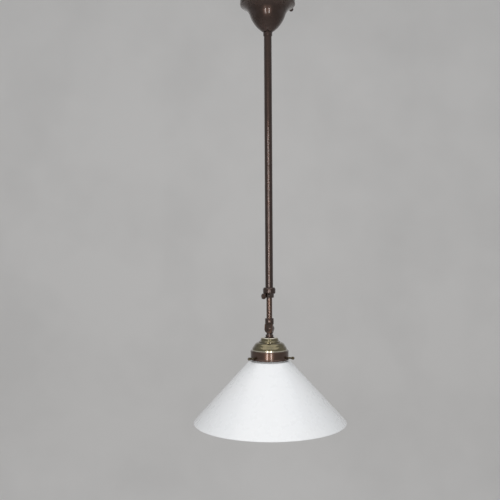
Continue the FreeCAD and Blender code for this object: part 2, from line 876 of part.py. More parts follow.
def make_washer(label, inner, outer, height, foot):
    body = new_body(label)
    turned(body, [(inner, 0), (outer, 0), (outer, height), (inner, height)])
    place(body, foot)
    return body


def make_gallery_nut():
    body = new_body("gallery_nut")
    flat = new_sketch(body, "XY_Plane")
    draw_hexagon(flat, S.gallery_nut_across)
    draw_circle(flat, 0, 0, S.nipple_radius)
    padded(body, flat, S.gallery_nut_height)
    place(body, gallery_nut_top - S.gallery_nut_height)
    return body


def make_gallery_cap():
    """The spun cap: a small drum, a bead, a dome and a lower step that stands on the ring."""
    body = new_body("gallery_cap")
    skin = S.cap_sheet
    top = S.cap_height
    hole = S.nipple_radius + S.running_gap
    step = S.cap_dome_foot
    steps = [
        (S.cap_foot_radius, 0), (S.cap_dome_radius + 0.7, step - 1.4, 0.12),
        (S.cap_dome_radius, step), (S.cap_bead_radius, S.cap_bead_foot, 0.14),
        (S.cap_bead_radius - 0.5, S.cap_bead_foot + 1.7, 0.2),
        (S.cap_drum_radius, S.cap_drum_foot, -0.2), (S.cap_top_radius + 1, top - 0.8),
        (S.cap_top_radius, top), (hole, top)]
    inside = [(hole, top - skin), (S.cap_top_radius - skin, top - skin)]
    for radius, level in ((S.cap_drum_radius, S.cap_drum_foot),
                          (S.cap_bead_radius, S.cap_bead_foot),
                          (S.cap_dome_radius, step - 0.7)):
        inside.append((radius - skin * 1.3, level - skin))
    inside.append((S.cap_foot_radius - skin, 0))
    turned(body, steps + inside)
    place(body, cap_foot)
    return body


def make_gallery_ring():
    """The ring that holds the shade: a flange under the cap, a band and a rolled lower bead."""
    body = new_body("gallery_ring")
    skin, wide, high = S.ring_sheet, S.ring_radius, S.ring_height
    bead, bead_high = S.ring_bead_radius, S.ring_bead_height
    turned(body, [
        (wide - skin, 0), (bead - 0.4, 0), (bead - 0.4, bead_high, 0.35), (wide, bead_high + 0.3),
        (wide, high - 0.6), (wide - 0.6, high), (S.ring_flange_radius, high),
        (S.ring_flange_radius, high - skin), (wide - skin, high - skin)])
    tapped = new_sketch(body, "YZ_Plane")
    draw_circle(tapped, 0, S.shade_screw_rise, S.shade_screw_radius + S.screw_gap)
    hole = pocketed(body, tapped, reverse=True)
    repeated_round(body, hole, 3)
    place(body, ring_foot, S.shade_screw_azimuth)
    return body


def make_shade_screw(label, azimuth):
    """A shade screw: its tip reaches under the glass lip, its round head stands outside."""
    body = new_body(label)
    tip, end = S.shade_screw_tip, S.shade_screw_end
    wide, head = S.shade_screw_radius, S.shade_screw_head
    start = end - S.shade_screw_head_length
    turned(body, [
        (tip, 0), (end, 0), (end, head * 0.6), (end - 1.0, head),
        (start + 0.5, head), (start, head - 0.5), (start, wide), (tip + 0.6, wide),
        (tip, wide - 0.6)], axis="H_Axis")
    place(body, shade_screw_level, azimuth)
    return body


def make_shade():
    """The opal glass cone: a fitter lip, a short neck, a shoulder and a straight cone."""
    body = new_body("glass_shade")
    glass = S.glass
    top = S.shade_height
    slope = (S.shade_radius - S.cone_start_radius) / (top - S.cone_start_drop)
    slant = (slope * slope + 1).root()
    inset = glass * slant
    neck, lip = S.glass_neck_radius, S.lip_radius
    lip_low = top - S.lip_height
    shoulder = top - S.cone_start_drop
    rim = glass / slant
    turned(body, [
        (S.shade_radius - inset + rim * 0.3, glass * 0.38),
        (S.shade_radius - 0.4, glass * 0.23, 0.3),
        (S.cone_start_radius, shoulder), (neck, shoulder + 3.6, -0.16), (neck, lip_low),
        (lip, lip_low), (lip, top - 1), (lip - 1, top), (neck - glass + 1, top),
        (neck - glass, top - 1), (neck - glass, shoulder + 3.6),
        (S.cone_start_radius - inset, shoulder, 0.12)])
    place(body, shade_foot)
    return body


# Lampholder

def make_holder_cap():
    """The entry cap: a neck on the nipple, a dome and a threaded skirt."""
    body = new_body("holder_cap")
    skin, high, wide = S.holder_cap_sheet, S.holder_cap_height, S.holder_cap_radius
    neck, skirt = S.holder_cap_neck, S.holder_skirt_height
    inner = S.nipple_radius
    turned(body, [
        (wide - skin, 0), (wide, 0), (wide, skirt), (neck, high - 3, 0.16), (neck, high),
        (inner, high), (inner, high - 3 - skin), (wide - skin, skirt - skin, -0.14)])
    place(body, holder_cap_foot)
    return body


core_top = holder_cap_foot + S.holder_skirt_height - S.holder_cap_sheet - S.running_gap
core_foot = core_top - S.core_height
union_foot = core_foot - S.barrel_flange_height - S.union_lip
union_top = holder_cap_foot + S.union_overlap
barrel_top = core_foot
barrel_foot = barrel_top - S.barrel_height
head_bore = S.plunger_head_radius + S.running_gap
stem_bore = S.plunger_stem_radius + S.running_gap


def make_core():
    """The insulating core: two stepped bores for the plungers and a channel between the posts."""
    body = new_body("holder_core")
    turned(body, [(0, 0), (S.core_radius, 0), (S.core_radius, S.core_height), (0, S.core_height)])
    wide = new_sketch(body, "XY_Plane")
    narrow = new_sketch(body, "XY_Plane")
    for side in (-1, 1):
        draw_circle(wide, side * S.plunger_spacing / 2, 0, head_bore)
        draw_circle(narrow, side * S.plunger_spacing / 2, 0, stem_bore)
    depth = S.plunger_head_length - S.plunger_out + S.spring_room
    pocketed(body, wide, depth, reverse=True)
    pocketed(body, narrow, reverse=True)
    place(body, core_foot, S.tube_azimuth)
    return body


def make_plunger(label, side):
    """A sprung contact: a head that meets the lamp's cap and a stem up through the spring."""
    body = new_body(label)
    head, stem = S.plunger_head_radius, S.plunger_stem_radius
    length = S.plunger_head_length
    top = S.core_height + S.plunger_out - S.loose_gap
    turned(body, [
        (0, 0), (head - 0.8, 0), (head, 0.8), (head, length), (stem, length), (stem, top),
        (0, top)])
    place_at(body, side * S.plunger_spacing / 2, 0, core_foot - S.plunger_out, S.tube_azimuth)
    return body


def make_plunger_spring(label, side):
    """The space of the coil spring between a plunger's head and the top of its bore."""
    body = new_body(label)
    wire = S.spring_wire_radius
    inner, outer = S.spring_radius - wire, S.spring_radius + wire
    room = S.spring_room - S.running_gap * 2
    turned(body, [(inner, 0), (outer, 0), (outer, room), (inner, room)])
    foot = core_foot - S.plunger_out + S.plunger_head_length + S.running_gap
    place_at(body, side * S.plunger_spacing / 2, 0, foot, S.tube_azimuth)
    return body


def make_posts():
    """The two terminal posts on the core, each with a cross hole for its wire."""
    body = new_body("holder_terminals")
    body.AllowCompound = True
    half = S.terminal_post / 2
    base = new_sketch(body, "XY_Plane")
    for side in (-1, 1):
        middle = side * S.terminal_post_along
        draw_box(base, middle - half, S.terminal_post_aside - half,
                 middle + half, S.terminal_post_aside + half)
    padded(body, base, S.terminal_post_height)
    wires = new_sketch(body, "XZ_Plane")
    for side in (-1, 1):
        draw_circle(wires, side * S.terminal_post_along, S.terminal_post_height * 0.4,
                    S.terminal_wire_radius)
    pocketed(body, wires)
    place(body, core_top, S.tube_azimuth)
    return body


def make_post_screws():
    """The two wire screws on top of the terminal posts."""
    body = new_body("holder_terminal_screws")
    body.AllowCompound = True
    spots = new_sketch(body, "XY_Plane")
    for side in (-1, 1):
        draw_circle(spots, side * S.terminal_post_along, S.terminal_post_aside,
                    S.holder_screw_radius)
    padded(body, spots, S.holder_screw_radius)
    place(body, core_top + S.terminal_post_height, S.tube_azimuth)
    return body


def make_union():
    """The union ring: it screws on the cap's skirt and holds the barrel's flange to the core."""
    body = new_body("union_ring")
    lip, wide = S.union_lip, S.union_radius
    inner = S.barrel_bore + S.barrel_sheet + S.running_gap
    high = union_top - union_foot
    turned(body, [
        (inner, 0), (wide - 0.8, 0), (wide, 0.8), (wide, high - 0.8),
        (wide - 0.8, high), (S.holder_cap_radius, high), (S.holder_cap_radius, lip),
        (inner, lip)])
    place(body, union_foot)
    return body


def make_barrel():
    """The bayonet barrel: a flange under the core, a bore for the lamp cap and two J slots."""
    body = new_body("holder_barrel")
    bore, skin, high = S.barrel_bore, S.barrel_sheet, S.barrel_height
    flange = S.barrel_flange_radius
    relief = bore + skin * 0.4
    turned(body, [
        (bore, 0), (bore + skin, 0), (bore + skin, high - S.barrel_flange_height),
        (flange, high - S.barrel_flange_height), (flange, high), (relief, high),
        (relief, S.barrel_bore_depth), (bore, S.barrel_bore_depth)])
    half = S.slot_width / 2
    slot = new_sketch(body, "XZ_Plane")
    draw_outline(slot, [
        (-half, -1), (half, -1), (half, S.slot_height - S.slot_width),
        (half + S.slot_shift - S.slot_width, S.slot_height - S.slot_width),
        (half + S.slot_shift - S.slot_width, S.slot_height - S.slot_width - 1),
        (half + S.slot_shift, S.slot_height - S.slot_width - 1),
        (half + S.slot_shift, S.slot_height), (-half, S.slot_height)])
    cut = pocketed(body, slot)
    repeated_round(body, cut, 2)
    place(body, barrel_foot, S.tube_azimuth)
    return body


# The pendant

make_strap()
make_block()
make_terminal_screws()
make_block_screw()
make_earth_screw()
make_canopy()
make_canopy_screw("canopy_screw_right", S.strap_azimuth)
make_canopy_screw("canopy_screw_left", S.strap_azimuth + 180)
make_canopy_seat()
make_canopy_nut()
make_canopy_ring()
make_end_bush()
make_tube("outer_tube", S.outer_tube_radius, S.outer_tube_wall, S.outer_tube_length, tube_foot)
make_collar()
make_clamp_pad()
make_clamp_screw()
make_tube("inner_tube", S.inner_tube_radius, S.inner_tube_wall, S.inner_tube_length, inner_foot,
          S.tube_azimuth)
make_stop_ring()
make_slide_bush()
make_bush_clip()
make_knuckle_half("knuckle_upper", 1)
make_knuckle_half("knuckle_lower", -1)
make_friction_washer()
make_pivot_screw()
make_spring_washer()
make_pivot_nut()
make_washer("cap_washer", S.nipple_radius, S.cap_washer_radius, S.cap_washer_height, cap_top)
make_washer("nipple", S.nipple_bore, S.nipple_radius, S.nipple_length, nipple_foot)
make_gallery_cap()
make_gallery_nut()
make_gallery_ring()
for number in range(3):
    make_shade_screw("shade_screw_%d" % (number + 1), S.shade_screw_azimuth + 120 * number)
make_shade()
make_holder_cap()
make_union()
make_core()
make_barrel()
make_posts()
make_post_screws()
for name, side in (("a", -1), ("b", 1)):
    make_plunger("plunger_" + name, side)
    make_plunger_spring("plunger_spring_" + name, side)

doc.recompute()

for item in doc.Objects:
    if "Invalid" in item.State or "Error" in item.State:
        raise RuntimeError("%s failed: %s" % (item.Label, item.State))

pieces = [item for item in doc.Objects if item.TypeId == "PartDesign::Body"]
for piece in pieces:
    if piece.Shape.isNull() or not piece.Shape.isValid():
        raise RuntimeError("%s has no valid shape" % piece.Label)

os.makedirs("parts", exist_ok=True)
for piece in pieces:
    piece.Shape.exportStep("parts/%s.step" % piece.Label)
    print("%-24s %2d solid %10.1f mm3" % (piece.Label, len(piece.Shape.Solids), piece.Shape.Volume))
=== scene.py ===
"""The looks of a rise and fall pendant: a bell canopy, telescopic tubes, a knuckle, a gallery and an
opal cone shade, dressed in aged bronze, brass and glass under soft studio light.

Outlines and sizes are in millimetres and finished meshes in metres, with the origin on the ceiling
and +Z up the tube.
"""

from __future__ import annotations

import logging
import math
from dataclasses import dataclass
from enum import Enum
from typing import Any, Iterable, Sequence

import bmesh
import bpy
from mathutils import Matrix, Vector


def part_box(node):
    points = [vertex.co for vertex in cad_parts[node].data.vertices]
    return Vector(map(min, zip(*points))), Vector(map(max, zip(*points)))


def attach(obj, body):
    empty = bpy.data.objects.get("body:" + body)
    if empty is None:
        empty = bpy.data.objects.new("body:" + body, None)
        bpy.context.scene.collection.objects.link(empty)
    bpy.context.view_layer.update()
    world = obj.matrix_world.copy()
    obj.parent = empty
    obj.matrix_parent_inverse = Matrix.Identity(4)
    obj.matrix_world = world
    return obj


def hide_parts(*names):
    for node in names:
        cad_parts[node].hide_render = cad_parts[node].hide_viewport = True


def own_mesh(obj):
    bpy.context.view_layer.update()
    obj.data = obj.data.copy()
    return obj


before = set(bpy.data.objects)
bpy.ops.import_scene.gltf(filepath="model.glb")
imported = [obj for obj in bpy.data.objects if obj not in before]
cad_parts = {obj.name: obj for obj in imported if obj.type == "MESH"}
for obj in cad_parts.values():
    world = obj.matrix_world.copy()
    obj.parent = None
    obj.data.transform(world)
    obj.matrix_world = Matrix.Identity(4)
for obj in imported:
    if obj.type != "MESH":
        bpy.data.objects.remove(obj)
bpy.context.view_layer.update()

log = logging.getLogger("pendant")

MM = 0.001
SMOOTH_ANGLE = math.radians(32)
BEVEL_ANGLE = math.radians(50)
FLAT_ANGLE = math.radians(0.3)
WAVE_STEPS = 20
SWEEP_RADIUS = 0.2
TURNED_REACH = 2e-7
CAD_REACH = 1e-6
EASE_SHARE = 0.42


# Outlines and turned meshes


@dataclass(frozen=True)
class Spot:
    """One corner of a turned outline, in millimetres.

    On a piece that stands up, x is the radius and y the height. On one that points out, x runs
    along its axis and y is the radius. swell is the rise over the chord of the arc that arrives
    here, positive when it bulges outwards on an outline that runs anticlockwise, and ease rounds
    this corner off over that length.
    """

    x: float
    y: float
    swell: float = 0.0
    ease: float = 0.0


class Axis(Enum):
    """Which way a turned piece stands: up the lamp, or out from it."""

    UP = "up"
    OUT = "out"


def arc_points(start: Vector, end: Vector, swell: float, steps: int) -> list[Vector]:
    """Points after start, up to end, on the arc whose rise over its chord is swell.

    Args:
        start: The arc's first point.
        end: The arc's last point.
        swell: Rise over chord, positive to the right of the way from start to end.
        steps: How many points to make.

    Returns:
        The points, without start.
    """
    chord = end - start
    rise = chord.length * abs(swell)
    radius = (chord.length_squared / 4 + rise * rise) / (2 * rise)
    side = Vector((chord.y, -chord.x)).normalized() * (1 if swell > 0 else -1)
    centre = (start + end) / 2 + side * (rise - radius)
    first = start - centre
    turn = 4 * math.atan(2 * abs(swell)) * (1 if swell > 0 else -1)
    points = []
    for step in range(1, steps + 1):
        angle = turn * step / steps
        cosine, sine = math.cos(angle), math.sin(angle)
        points.append(centre + Vector((first.x * cosine - first.y * sine,
                                       first.x * sine + first.y * cosine)))
    return points


def walk(points: Sequence[Vector], start: int, step: int, length: float) -> tuple[Vector, int]:
    """Walks along a closed line from one of its points.

    Args:
        points: The line's points.
        start: The index to start from.
        step: 1 to go forwards, -1 to go back.
        length: How far to go.

    Returns:
        The point reached, and the index of the first point beyond it.
    """
    here, index = points[start], start
    for _ in points:
        index = (index + step) % len(points)
        gap = (points[index] - here).length
        if gap > length:
            return here + (points[index] - here) * (length / gap), index
        length -= gap
        here = points[index]
    return here, index


def trace(spots: Sequence[Spot], steps: int = 14) -> list[Vector]:
    """The points of a closed outline, with its arcs and eased corners.

    Args:
        spots: The outline's corners, anticlockwise.
        steps: Points on each arc.

    Returns:
        The points, in millimetres.
    """
    line: list[Vector] = []
    corners: list[tuple[int, float]] = []
    for index, spot in enumerate(spots):
        before = spots[index - 1]
        end = Vector((spot.x, spot.y))
        if spot.swell:
            start = Vector((before.x, before.y))
            line += arc_points(start, end, spot.swell, steps)
        else:
            line.append(end)
        corners.append((len(line) - 1, spot.ease))
    eased = {index: ease for index, ease in corners if ease > 0}
    if not eased:
        return line
    gone: set[int] = set()
    rounds: dict[int, list[Vector]] = {}
    for index, ease in eased.items():
        back, last = walk(line, index, -1, ease)
        ahead, following = walk(line, index, 1, ease)
        bend = line[index]
        rounds[index] = [back * (1 - t) ** 2 + bend * (2 * t * (1 - t)) + ahead * t * t
                         for t in (0.0, 0.2, 0.4, 0.6, 0.8, 1.0)]
        inside = (last + 1) % len(line)
        while inside != following:
            gone.add(inside)
            inside = (inside + 1) % len(line)
    points: list[Vector] = []
    for index, point in enumerate(line):
        if index in rounds:
            points += rounds[index]
        elif index not in gone:
            points.append(point)
    return points


# Geometry Nodes


class Tree:
    """A geometry node tree with named inputs, built in code."""

    def __init__(self, name: str) -> None:
        """Starts an empty tree with a geometry output.

        Args:
            name: The tree's name.
        """
        self.group = bpy.data.node_groups.new(name, "GeometryNodeTree")
        self.group.interface.new_socket("Geometry", in_out="OUTPUT",
                                        socket_type="NodeSocketGeometry")
        self.entry = self.group.nodes.new("NodeGroupInput")
        self.exit = self.group.nodes.new("NodeGroupOutput")

    def ask(self, name: str, kind: str, value: Any = None) -> Any:
        """Adds a named input.

        Args:
            name: The input's name.
            kind: The socket type's last word, such as Float.
            value: Its default.

        Returns:
            The socket inside the tree.
        """
        socket = self.group.interface.new_socket(name, in_out="INPUT",
                                                 socket_type="NodeSocket" + kind)
        if value is not None:
            socket.default_value = value
        return self.entry.outputs[name]

    def add(self, kind: str, links: dict[str, Any] | None = None, **settings: Any) -> Any:
        """Adds a node.

        Args:
            kind: The node's type after GeometryNode, or its whole type.
            links: What feeds each input: a socket, or a value.
            settings: Properties set on the node.

        Returns:
            The node.
        """
        whole = kind if kind.startswith(("Shader", "Function")) else "GeometryNode" + kind
        node = self.group.nodes.new(whole)
        for key, value in settings.items():
            setattr(node, key, value)
        for key, value in (links or {}).items():
            socket = node.inputs[int(key)] if key.isdigit() else node.inputs[key]
            if hasattr(value, "is_output"):
                self.group.links.new(value, socket)
            else:
                socket.default_value = value
        return node

    def math(self, operation: str, first: Any, second: Any) -> Any:
        """A math node's result."""
        node = self.add("ShaderNodeMath", {"0": first, "1": second}, operation=operation)
        return node.outputs[0]

    def finish(self, geometry: Any) -> None:
        """Ends the tree in Realize Instances and Set Material.

        Args:
            geometry: The socket with the finished shape.
        """
        material = self.ask("Finish", "Material")
        real = self.add("RealizeInstances", {"Geometry": geometry})
        dressed = self.add("SetMaterial", {"Geometry": real.outputs[0], "Material": material})
        self.group.links.new(dressed.outputs[0], self.exit.inputs[0])

    def run(self, name: str, mesh: bpy.types.Mesh | None, inputs: dict[str, Any]) -> bpy.types.Mesh:
        """Runs the tree on a mesh.

        Args:
            name: The new mesh's name.
            mesh: The mesh to start from, or None for an empty one.
            inputs: The value of each named input.

        Returns:
            The result as a plain mesh.
        """
        holder = bpy.data.objects.new(name, mesh or bpy.data.meshes.new(name))
        bpy.context.scene.collection.objects.link(holder)
        modifier = holder.modifiers.new("Shape", "NODES")
        modifier.node_group = self.group
        for item in self.group.interface.items_tree:
            if item.item_type == "SOCKET" and item.in_out == "INPUT" and item.name in inputs:
                modifier[item.identifier] = inputs[item.name]
        graph = bpy.context.evaluated_depsgraph_get()
        made = bpy.data.meshes.new_from_object(holder.evaluated_get(graph))
        bpy.data.objects.remove(holder)
        made.name = name
        return made


def turned_tree() -> Tree:
    """A tree that sweeps an outline round the Z axis.

    Returns:
        The tree, with inputs Outline, Path Radius, Segments and Finish.
    """
    tree = Tree("Turned form")
    outline = tree.ask("Outline", "Geometry")
    path = tree.ask("Path Radius", "Float", 0.1)
    segments = tree.ask("Segments", "Int", 96)
    split = tree.add("ShaderNodeSeparateXYZ", {"0": tree.add("InputPosition").outputs[0]})
    across = tree.math("SUBTRACT", split.outputs[0], path)
    down = tree.math("MULTIPLY", split.outputs[1], -1.0)
    spot = tree.add("ShaderNodeCombineXYZ", {"0": across, "1": down})
    moved = tree.add("SetPosition", {"Geometry": outline, "Position": spot.outputs[0]})
    profile = tree.add("MeshToCurve", {"Mesh": moved.outputs[0]})
    circle = tree.add("CurvePrimitiveCircle", {"Resolution": segments, "Radius": path})
    skin = tree.add("CurveToMesh", {"Curve": circle.outputs[0], "Profile Curve": profile.outputs[0]})
    tree.finish(skin.outputs[0])
    return tree


def ridges_tree() -> Tree:
    """A tree of ridges set in a ring round the Z axis, for knurled edges.

    Returns:
        The tree, with inputs Count, Radius, Length, Width, Height and Finish.
    """
    tree = Tree("Knurled ring")
    count = tree.ask("Count", "Int", 30)
    radius = tree.ask("Radius", "Float", 0.005)
    length = tree.ask("Length", "Float", 0.003)
    width = tree.ask("Width", "Float", 0.0004)
    height = tree.ask("Height", "Float", 0.0004)
    ring = tree.add("MeshCircle", {"Vertices": count, "Radius": radius})
    bar = tree.add("MeshCone", {"Vertices": 4, "Radius Top": tree.math("MULTIPLY", width, 0.35),
                                "Radius Bottom": width, "Depth": height})
    turn = tree.add("Transform", {"Geometry": bar.outputs[0],
                                  "Rotation": (0.0, 0.0, math.pi / 4)})
    stand = tree.add("Transform", {"Geometry": turn.outputs[0],
                                   "Rotation": (0.0, math.pi / 2, 0.0)})
    stretch = tree.add("ShaderNodeCombineXYZ", {
        "0": 1.0, "1": 1.0, "2": tree.math("DIVIDE", length, width)})
    long_bar = tree.add("Transform", {"Geometry": stand.outputs[0], "Scale": stretch.outputs[0]})
    place = tree.add("InputPosition")
    aim = tree.add("FunctionNodeAlignRotationToVector", {"Vector": place.outputs[0]}, axis="X")
    copies = tree.add("InstanceOnPoints", {
        "Points": ring.outputs[0], "Instance": long_bar.outputs[0], "Rotation": aim.outputs[0]})
    tree.finish(copies.outputs[0])
    return tree


def coil_tree() -> Tree:
    """A tree that winds a wire in a helix up the Z axis, for springs and threads.

    Returns:
        The tree, with inputs Turns, Radius, Height, Wire, Steps, Sides and Finish.
    """
    tree = Tree("Wound wire")
    turns = tree.ask("Turns", "Float", 5.0)
    radius = tree.ask("Radius", "Float", 0.002)
    height = tree.ask("Height", "Float", 0.006)
    wire = tree.ask("Wire", "Float", 0.0003)
    steps = tree.ask("Steps", "Int", 24)
    sides = tree.ask("Sides", "Int", 8)
    helix = tree.add("CurveSpiral", {
        "Resolution": steps, "Rotations": turns, "Start Radius": radius, "End Radius": radius,
        "Height": height})
    section = tree.add("CurvePrimitiveCircle", {"Resolution": sides, "Radius": wire})
    skin = tree.add("CurveToMesh", {"Curve": helix.outputs[0], "Profile Curve": section.outputs[0],
                                    "Fill Caps": True})
    tree.finish(skin.outputs[0])
    return tree


# Finishes


class Slot(Enum):
    """The material slots of the pendant."""

    DARK_BRONZE = "dark_bronze"
    COPPER_BRONZE = "copper_bronze"
    AGED_BRASS = "aged_brass"
    RAW_BRASS = "raw_brass"
    ZINC_STEEL = "zinc_steel"
    SPRING_STEEL = "spring_steel"
    WHITE_NYLON = "white_nylon"
    PORCELAIN = "porcelain"
    FIBRE = "fibre"
    OPAL_GLASS = "opal_glass"
    SCREW_BRASS = "aged_brass_screws"

    def part_slot(self) -> str:
        """The part's own slot, which the screws' darker brass shares."""
        return "aged_brass" if self is Slot.SCREW_BRASS else self.value


Colour = tuple[float, float, float]
Span = tuple[float, float]


class Shader:
    """A material's node tree with short ways to add and join nodes."""

    def __init__(self, name: str) -> None:
        """Starts a material with one Principled surface.

        Args:
            name: The material's name.
        """
        self.material = bpy.data.materials.new(name)
        self.material.use_nodes = True
        self.nodes = self.material.node_tree.nodes
        self.links = self.material.node_tree.links
        self.surface = self.nodes["Principled BSDF"]
        self.place = self.nodes.new("ShaderNodeTexCoord").outputs["Object"]

    def add(self, kind: str, inputs: dict[Any, Any] | None = None, **settings: Any) -> Any:
        """Adds a node.

        Args:
            kind: The node's type after ShaderNode.
            inputs: What feeds each input: a socket, or a value.
            settings: Properties set on the node.

        Returns:
            The node.
        """
        node = self.nodes.new("ShaderNode" + kind)
        for key, value in settings.items():
            setattr(node, key, value)
        for key, value in (inputs or {}).items():
            if hasattr(value, "is_output"):
                self.links.new(value, node.inputs[key])
            else:
                node.inputs[key].default_value = value
        return node

    def noise(self, scale: float, detail: float = 4.0, stretch: Colour = (1.0, 1.0, 1.0)) -> Any:
        """Noise at scale cycles to the metre, stretched along an axis by its share."""
        place = self.add("Mapping", {"Vector": self.place, "Scale": stretch}).outputs[0]
        return self.add("TexNoise", {"Vector": place, "Scale": scale, "Detail": detail,
                                     "Roughness": 0.6}).outputs["Fac"]

    def span(self, value: Any, low: float, high: float, to_low: float, to_high: float) -> Any:
        """Maps a value's span onto another, held at its ends."""
        return self.add("MapRange", {"Value": value, "From Min": low, "From Max": high,
                                     "To Min": to_low, "To Max": to_high}).outputs[0]

    def blend(self, share: Any, first: Any, second: Any) -> Any:
        """Mixes two colours.

        Args:
            share: How much of the second shows, from 0 to 1.
            first: The colour at 0.
            second: The colour at 1.

        Returns:
            The mixed colour's socket.
        """
        node = self.add("Mix", data_type="RGBA")
        for index, value in ((0, share), (6, first), (7, second)):
            if hasattr(value, "is_output"):
                self.links.new(value, node.inputs[index])
            else:
                node.inputs[index].default_value = (*value, 1.0) if index else value
        return node.outputs[2]

    def bump(self, height: Any, strength: float, depth: float, normal: Any = None) -> Any:
        """Bumps the surface.

        Args:
            height: The pattern that stands up.
            strength: How much of it shows, from 0 to 1.
            depth: Its full depth, in millimetres.
            normal: An earlier bump that it adds to.

        Returns:
            The normal's socket.
        """
        inputs = {"Height": height, "Strength": strength, "Distance": depth * MM}
        if normal is not None:
            inputs["Normal"] = normal
        return self.add("Bump", inputs).outputs[0]

    def rim(self, wear_and_highlight: Any, height: float, width: float) -> Any:
        """Adds a painted highlight ring round the lamp to a wear share: a band at a set height that takes
        the wear colour.

        Args:
            wear_and_highlight: The wear and the painted highlight so far.
            height: The ring's middle, in metres.
            width: How far up and down from there it fades out, in metres.

        Returns:
            The greater share of the two.
        """
        level = self.add("SeparateXYZ", {0: self.place}).outputs[2]
        off = self.add("Math", {0: level, 1: height}, operation="SUBTRACT").outputs[0]
        away = self.add("Math", {0: off}, operation="ABSOLUTE").outputs[0]
        ring = self.span(away, width * 0.5, width, 1.0, 0.0)
        return self.add("Math", {0: wear_and_highlight, 1: ring}, operation="MAXIMUM").outputs[0]

    def feed(self, **inputs: Any) -> None:
        """Feeds the surface's inputs, named with underscores for spaces.

        Args:
            inputs: A socket, a number or a colour for each.
        """
        for key, value in inputs.items():
            socket = self.surface.inputs[key.replace("_", " ")]
            if hasattr(value, "is_output"):
                self.links.new(value, socket)
            elif isinstance(value, tuple):
                socket.default_value = (*value, 1.0) if len(socket.default_value) == 4 else value
            else:
                socket.default_value = value


@dataclass(frozen=True)
class Metal:
    """A metal with cloudy patina, brighter worn edges, painted highlight rings at set heights, a lathe's
    rings and a fine grain.
    """

    base: Colour
    patina: Colour
    # Colour of the worn edges, and also of the painted highlight rings.
    wear_and_highlight_colour: Colour
    smooth: float
    rough: float
    cloud: float = 45.0
    patina_share: float = 0.45
    wear_share: float = 0.8
    ring_pitch: float = 0.22
    ring_strength: float = 0.012
    ring_depth: float = 0.02
    # Painted highlight rings: each names a node and the share of its height where a bright ring of the
    # wear colour is painted.
    highlight_rims: tuple[tuple[str, float], ...] = ()
    highlight_rim_width: float = 1.0
    speckle: float = 420.0
    speckle_span: Span = (0.60, 0.74)
    speckle_share: float = 0.16
    patina_span: Span = (0.40, 0.66)
    wear_span: Span = (0.545, 0.68)
    broken_span: Span = (0.38, 0.55)
    broken_least: float = 0.35
    rough_span: Span = (0.25, 0.75)
    grain: float = 2600.0
    grain_strength: float = 0.025
    grain_depth: float = 0.03
    coat: float = 0.0
    coat_rough: float = 0.10

    def material(self, name: str) -> bpy.types.Material:
        """Builds the material.

        Args:
            name: The material's name.

        Returns:
            The material.
        """
        shade = Shader(name)
        clouds = shade.noise(self.cloud, 7.0)
        grain = shade.noise(self.grain, 3.0)
        speckle = shade.noise(self.speckle, 5.0)
        patina = shade.span(clouds, *self.patina_span, 0.0, self.patina_share)
        colour = shade.blend(patina, self.base, self.patina)
        spots = shade.span(speckle, *self.speckle_span, 0.0, self.speckle_share)
        colour = shade.blend(spots, colour, self.patina)
        edge = shade.add("NewGeometry").outputs["Pointiness"]
        wear_and_highlight = shade.span(edge, *self.wear_span, 0.0, self.wear_share)
        broken = shade.span(speckle, *self.broken_span, self.broken_least, 1.0)
        wear_and_highlight = shade.add("Math", {0: wear_and_highlight, 1: broken}, operation="MULTIPLY").outputs[0]
        # Painted highlights: a bright ring of the wear colour at each set height, added to the edge wear.
        for node, share in self.highlight_rims:
            wear_and_highlight = shade.rim(wear_and_highlight, low(node) + (high(node) - low(node)) * share, self.highlight_rim_width * MM)
        colour = shade.blend(wear_and_highlight, colour, self.wear_and_highlight_colour)
        roughness = shade.span(clouds, *self.rough_span, self.smooth, self.rough)
        rings = shade.add("TexWave", {
            "Vector": shade.place, "Scale": math.tau / (WAVE_STEPS * self.ring_pitch * MM),
            "Distortion": 0.0, "Detail": 0.0},
            wave_type="BANDS", bands_direction="Z", wave_profile="SIN").outputs["Fac"]
        normal = shade.bump(rings, self.ring_strength, self.ring_depth)
        normal = shade.bump(grain, self.grain_strength, self.grain_depth, normal)
        shade.feed(Base_Color=colour, Metallic=1.0, Roughness=roughness, Normal=normal,
                   Coat_Weight=self.coat, Coat_Roughness=self.coat_rough)
        return shade.material


@dataclass(frozen=True)
class Moulded:
    """A plastic, ceramic or fibre with a faint mottle and a soft grain."""

    base: Colour
    mottle: Colour
    smooth: float
    rough: float
    scale: float = 90.0
    grain: float = 1800.0
    grain_strength: float = 0.12
    grain_depth: float = 0.03
    grain_span: Span = (0.35, 0.65)
    mottle_span: Span = (0.38, 0.68)
    mottle_share: float = 0.8
    swell_strength: float = 0.05
    swell_depth: float = 0.3
    coat: float = 0.0
    coat_rough: float = 0.08
    depth: float = 0.0
    scatter: float = 0.003

    def material(self, name: str) -> bpy.types.Material:
        """Builds the material.

        Args:
            name: The material's name.

        Returns:
            The material.
        """
        shade = Shader(name)
        clouds = shade.noise(self.scale, 5.0)
        grain = shade.noise(self.grain, 4.0)
        mottled = shade.span(clouds, *self.mottle_span, 0.0, self.mottle_share)
        colour = shade.blend(mottled, self.base, self.mottle)
        roughness = shade.span(grain, *self.grain_span, self.smooth, self.rough)
        normal = shade.bump(grain, self.grain_strength, self.grain_depth)
        normal = shade.bump(clouds, self.swell_strength, self.swell_depth, normal)
        shade.feed(Base_Color=colour, Roughness=roughness, Normal=normal, Coat_Weight=self.coat,
                   Coat_Roughness=self.coat_rough, Subsurface_Weight=self.depth,
                   Subsurface_Radius=(self.scatter,) * 3, Subsurface_Scale=1.0)
        return shade.material


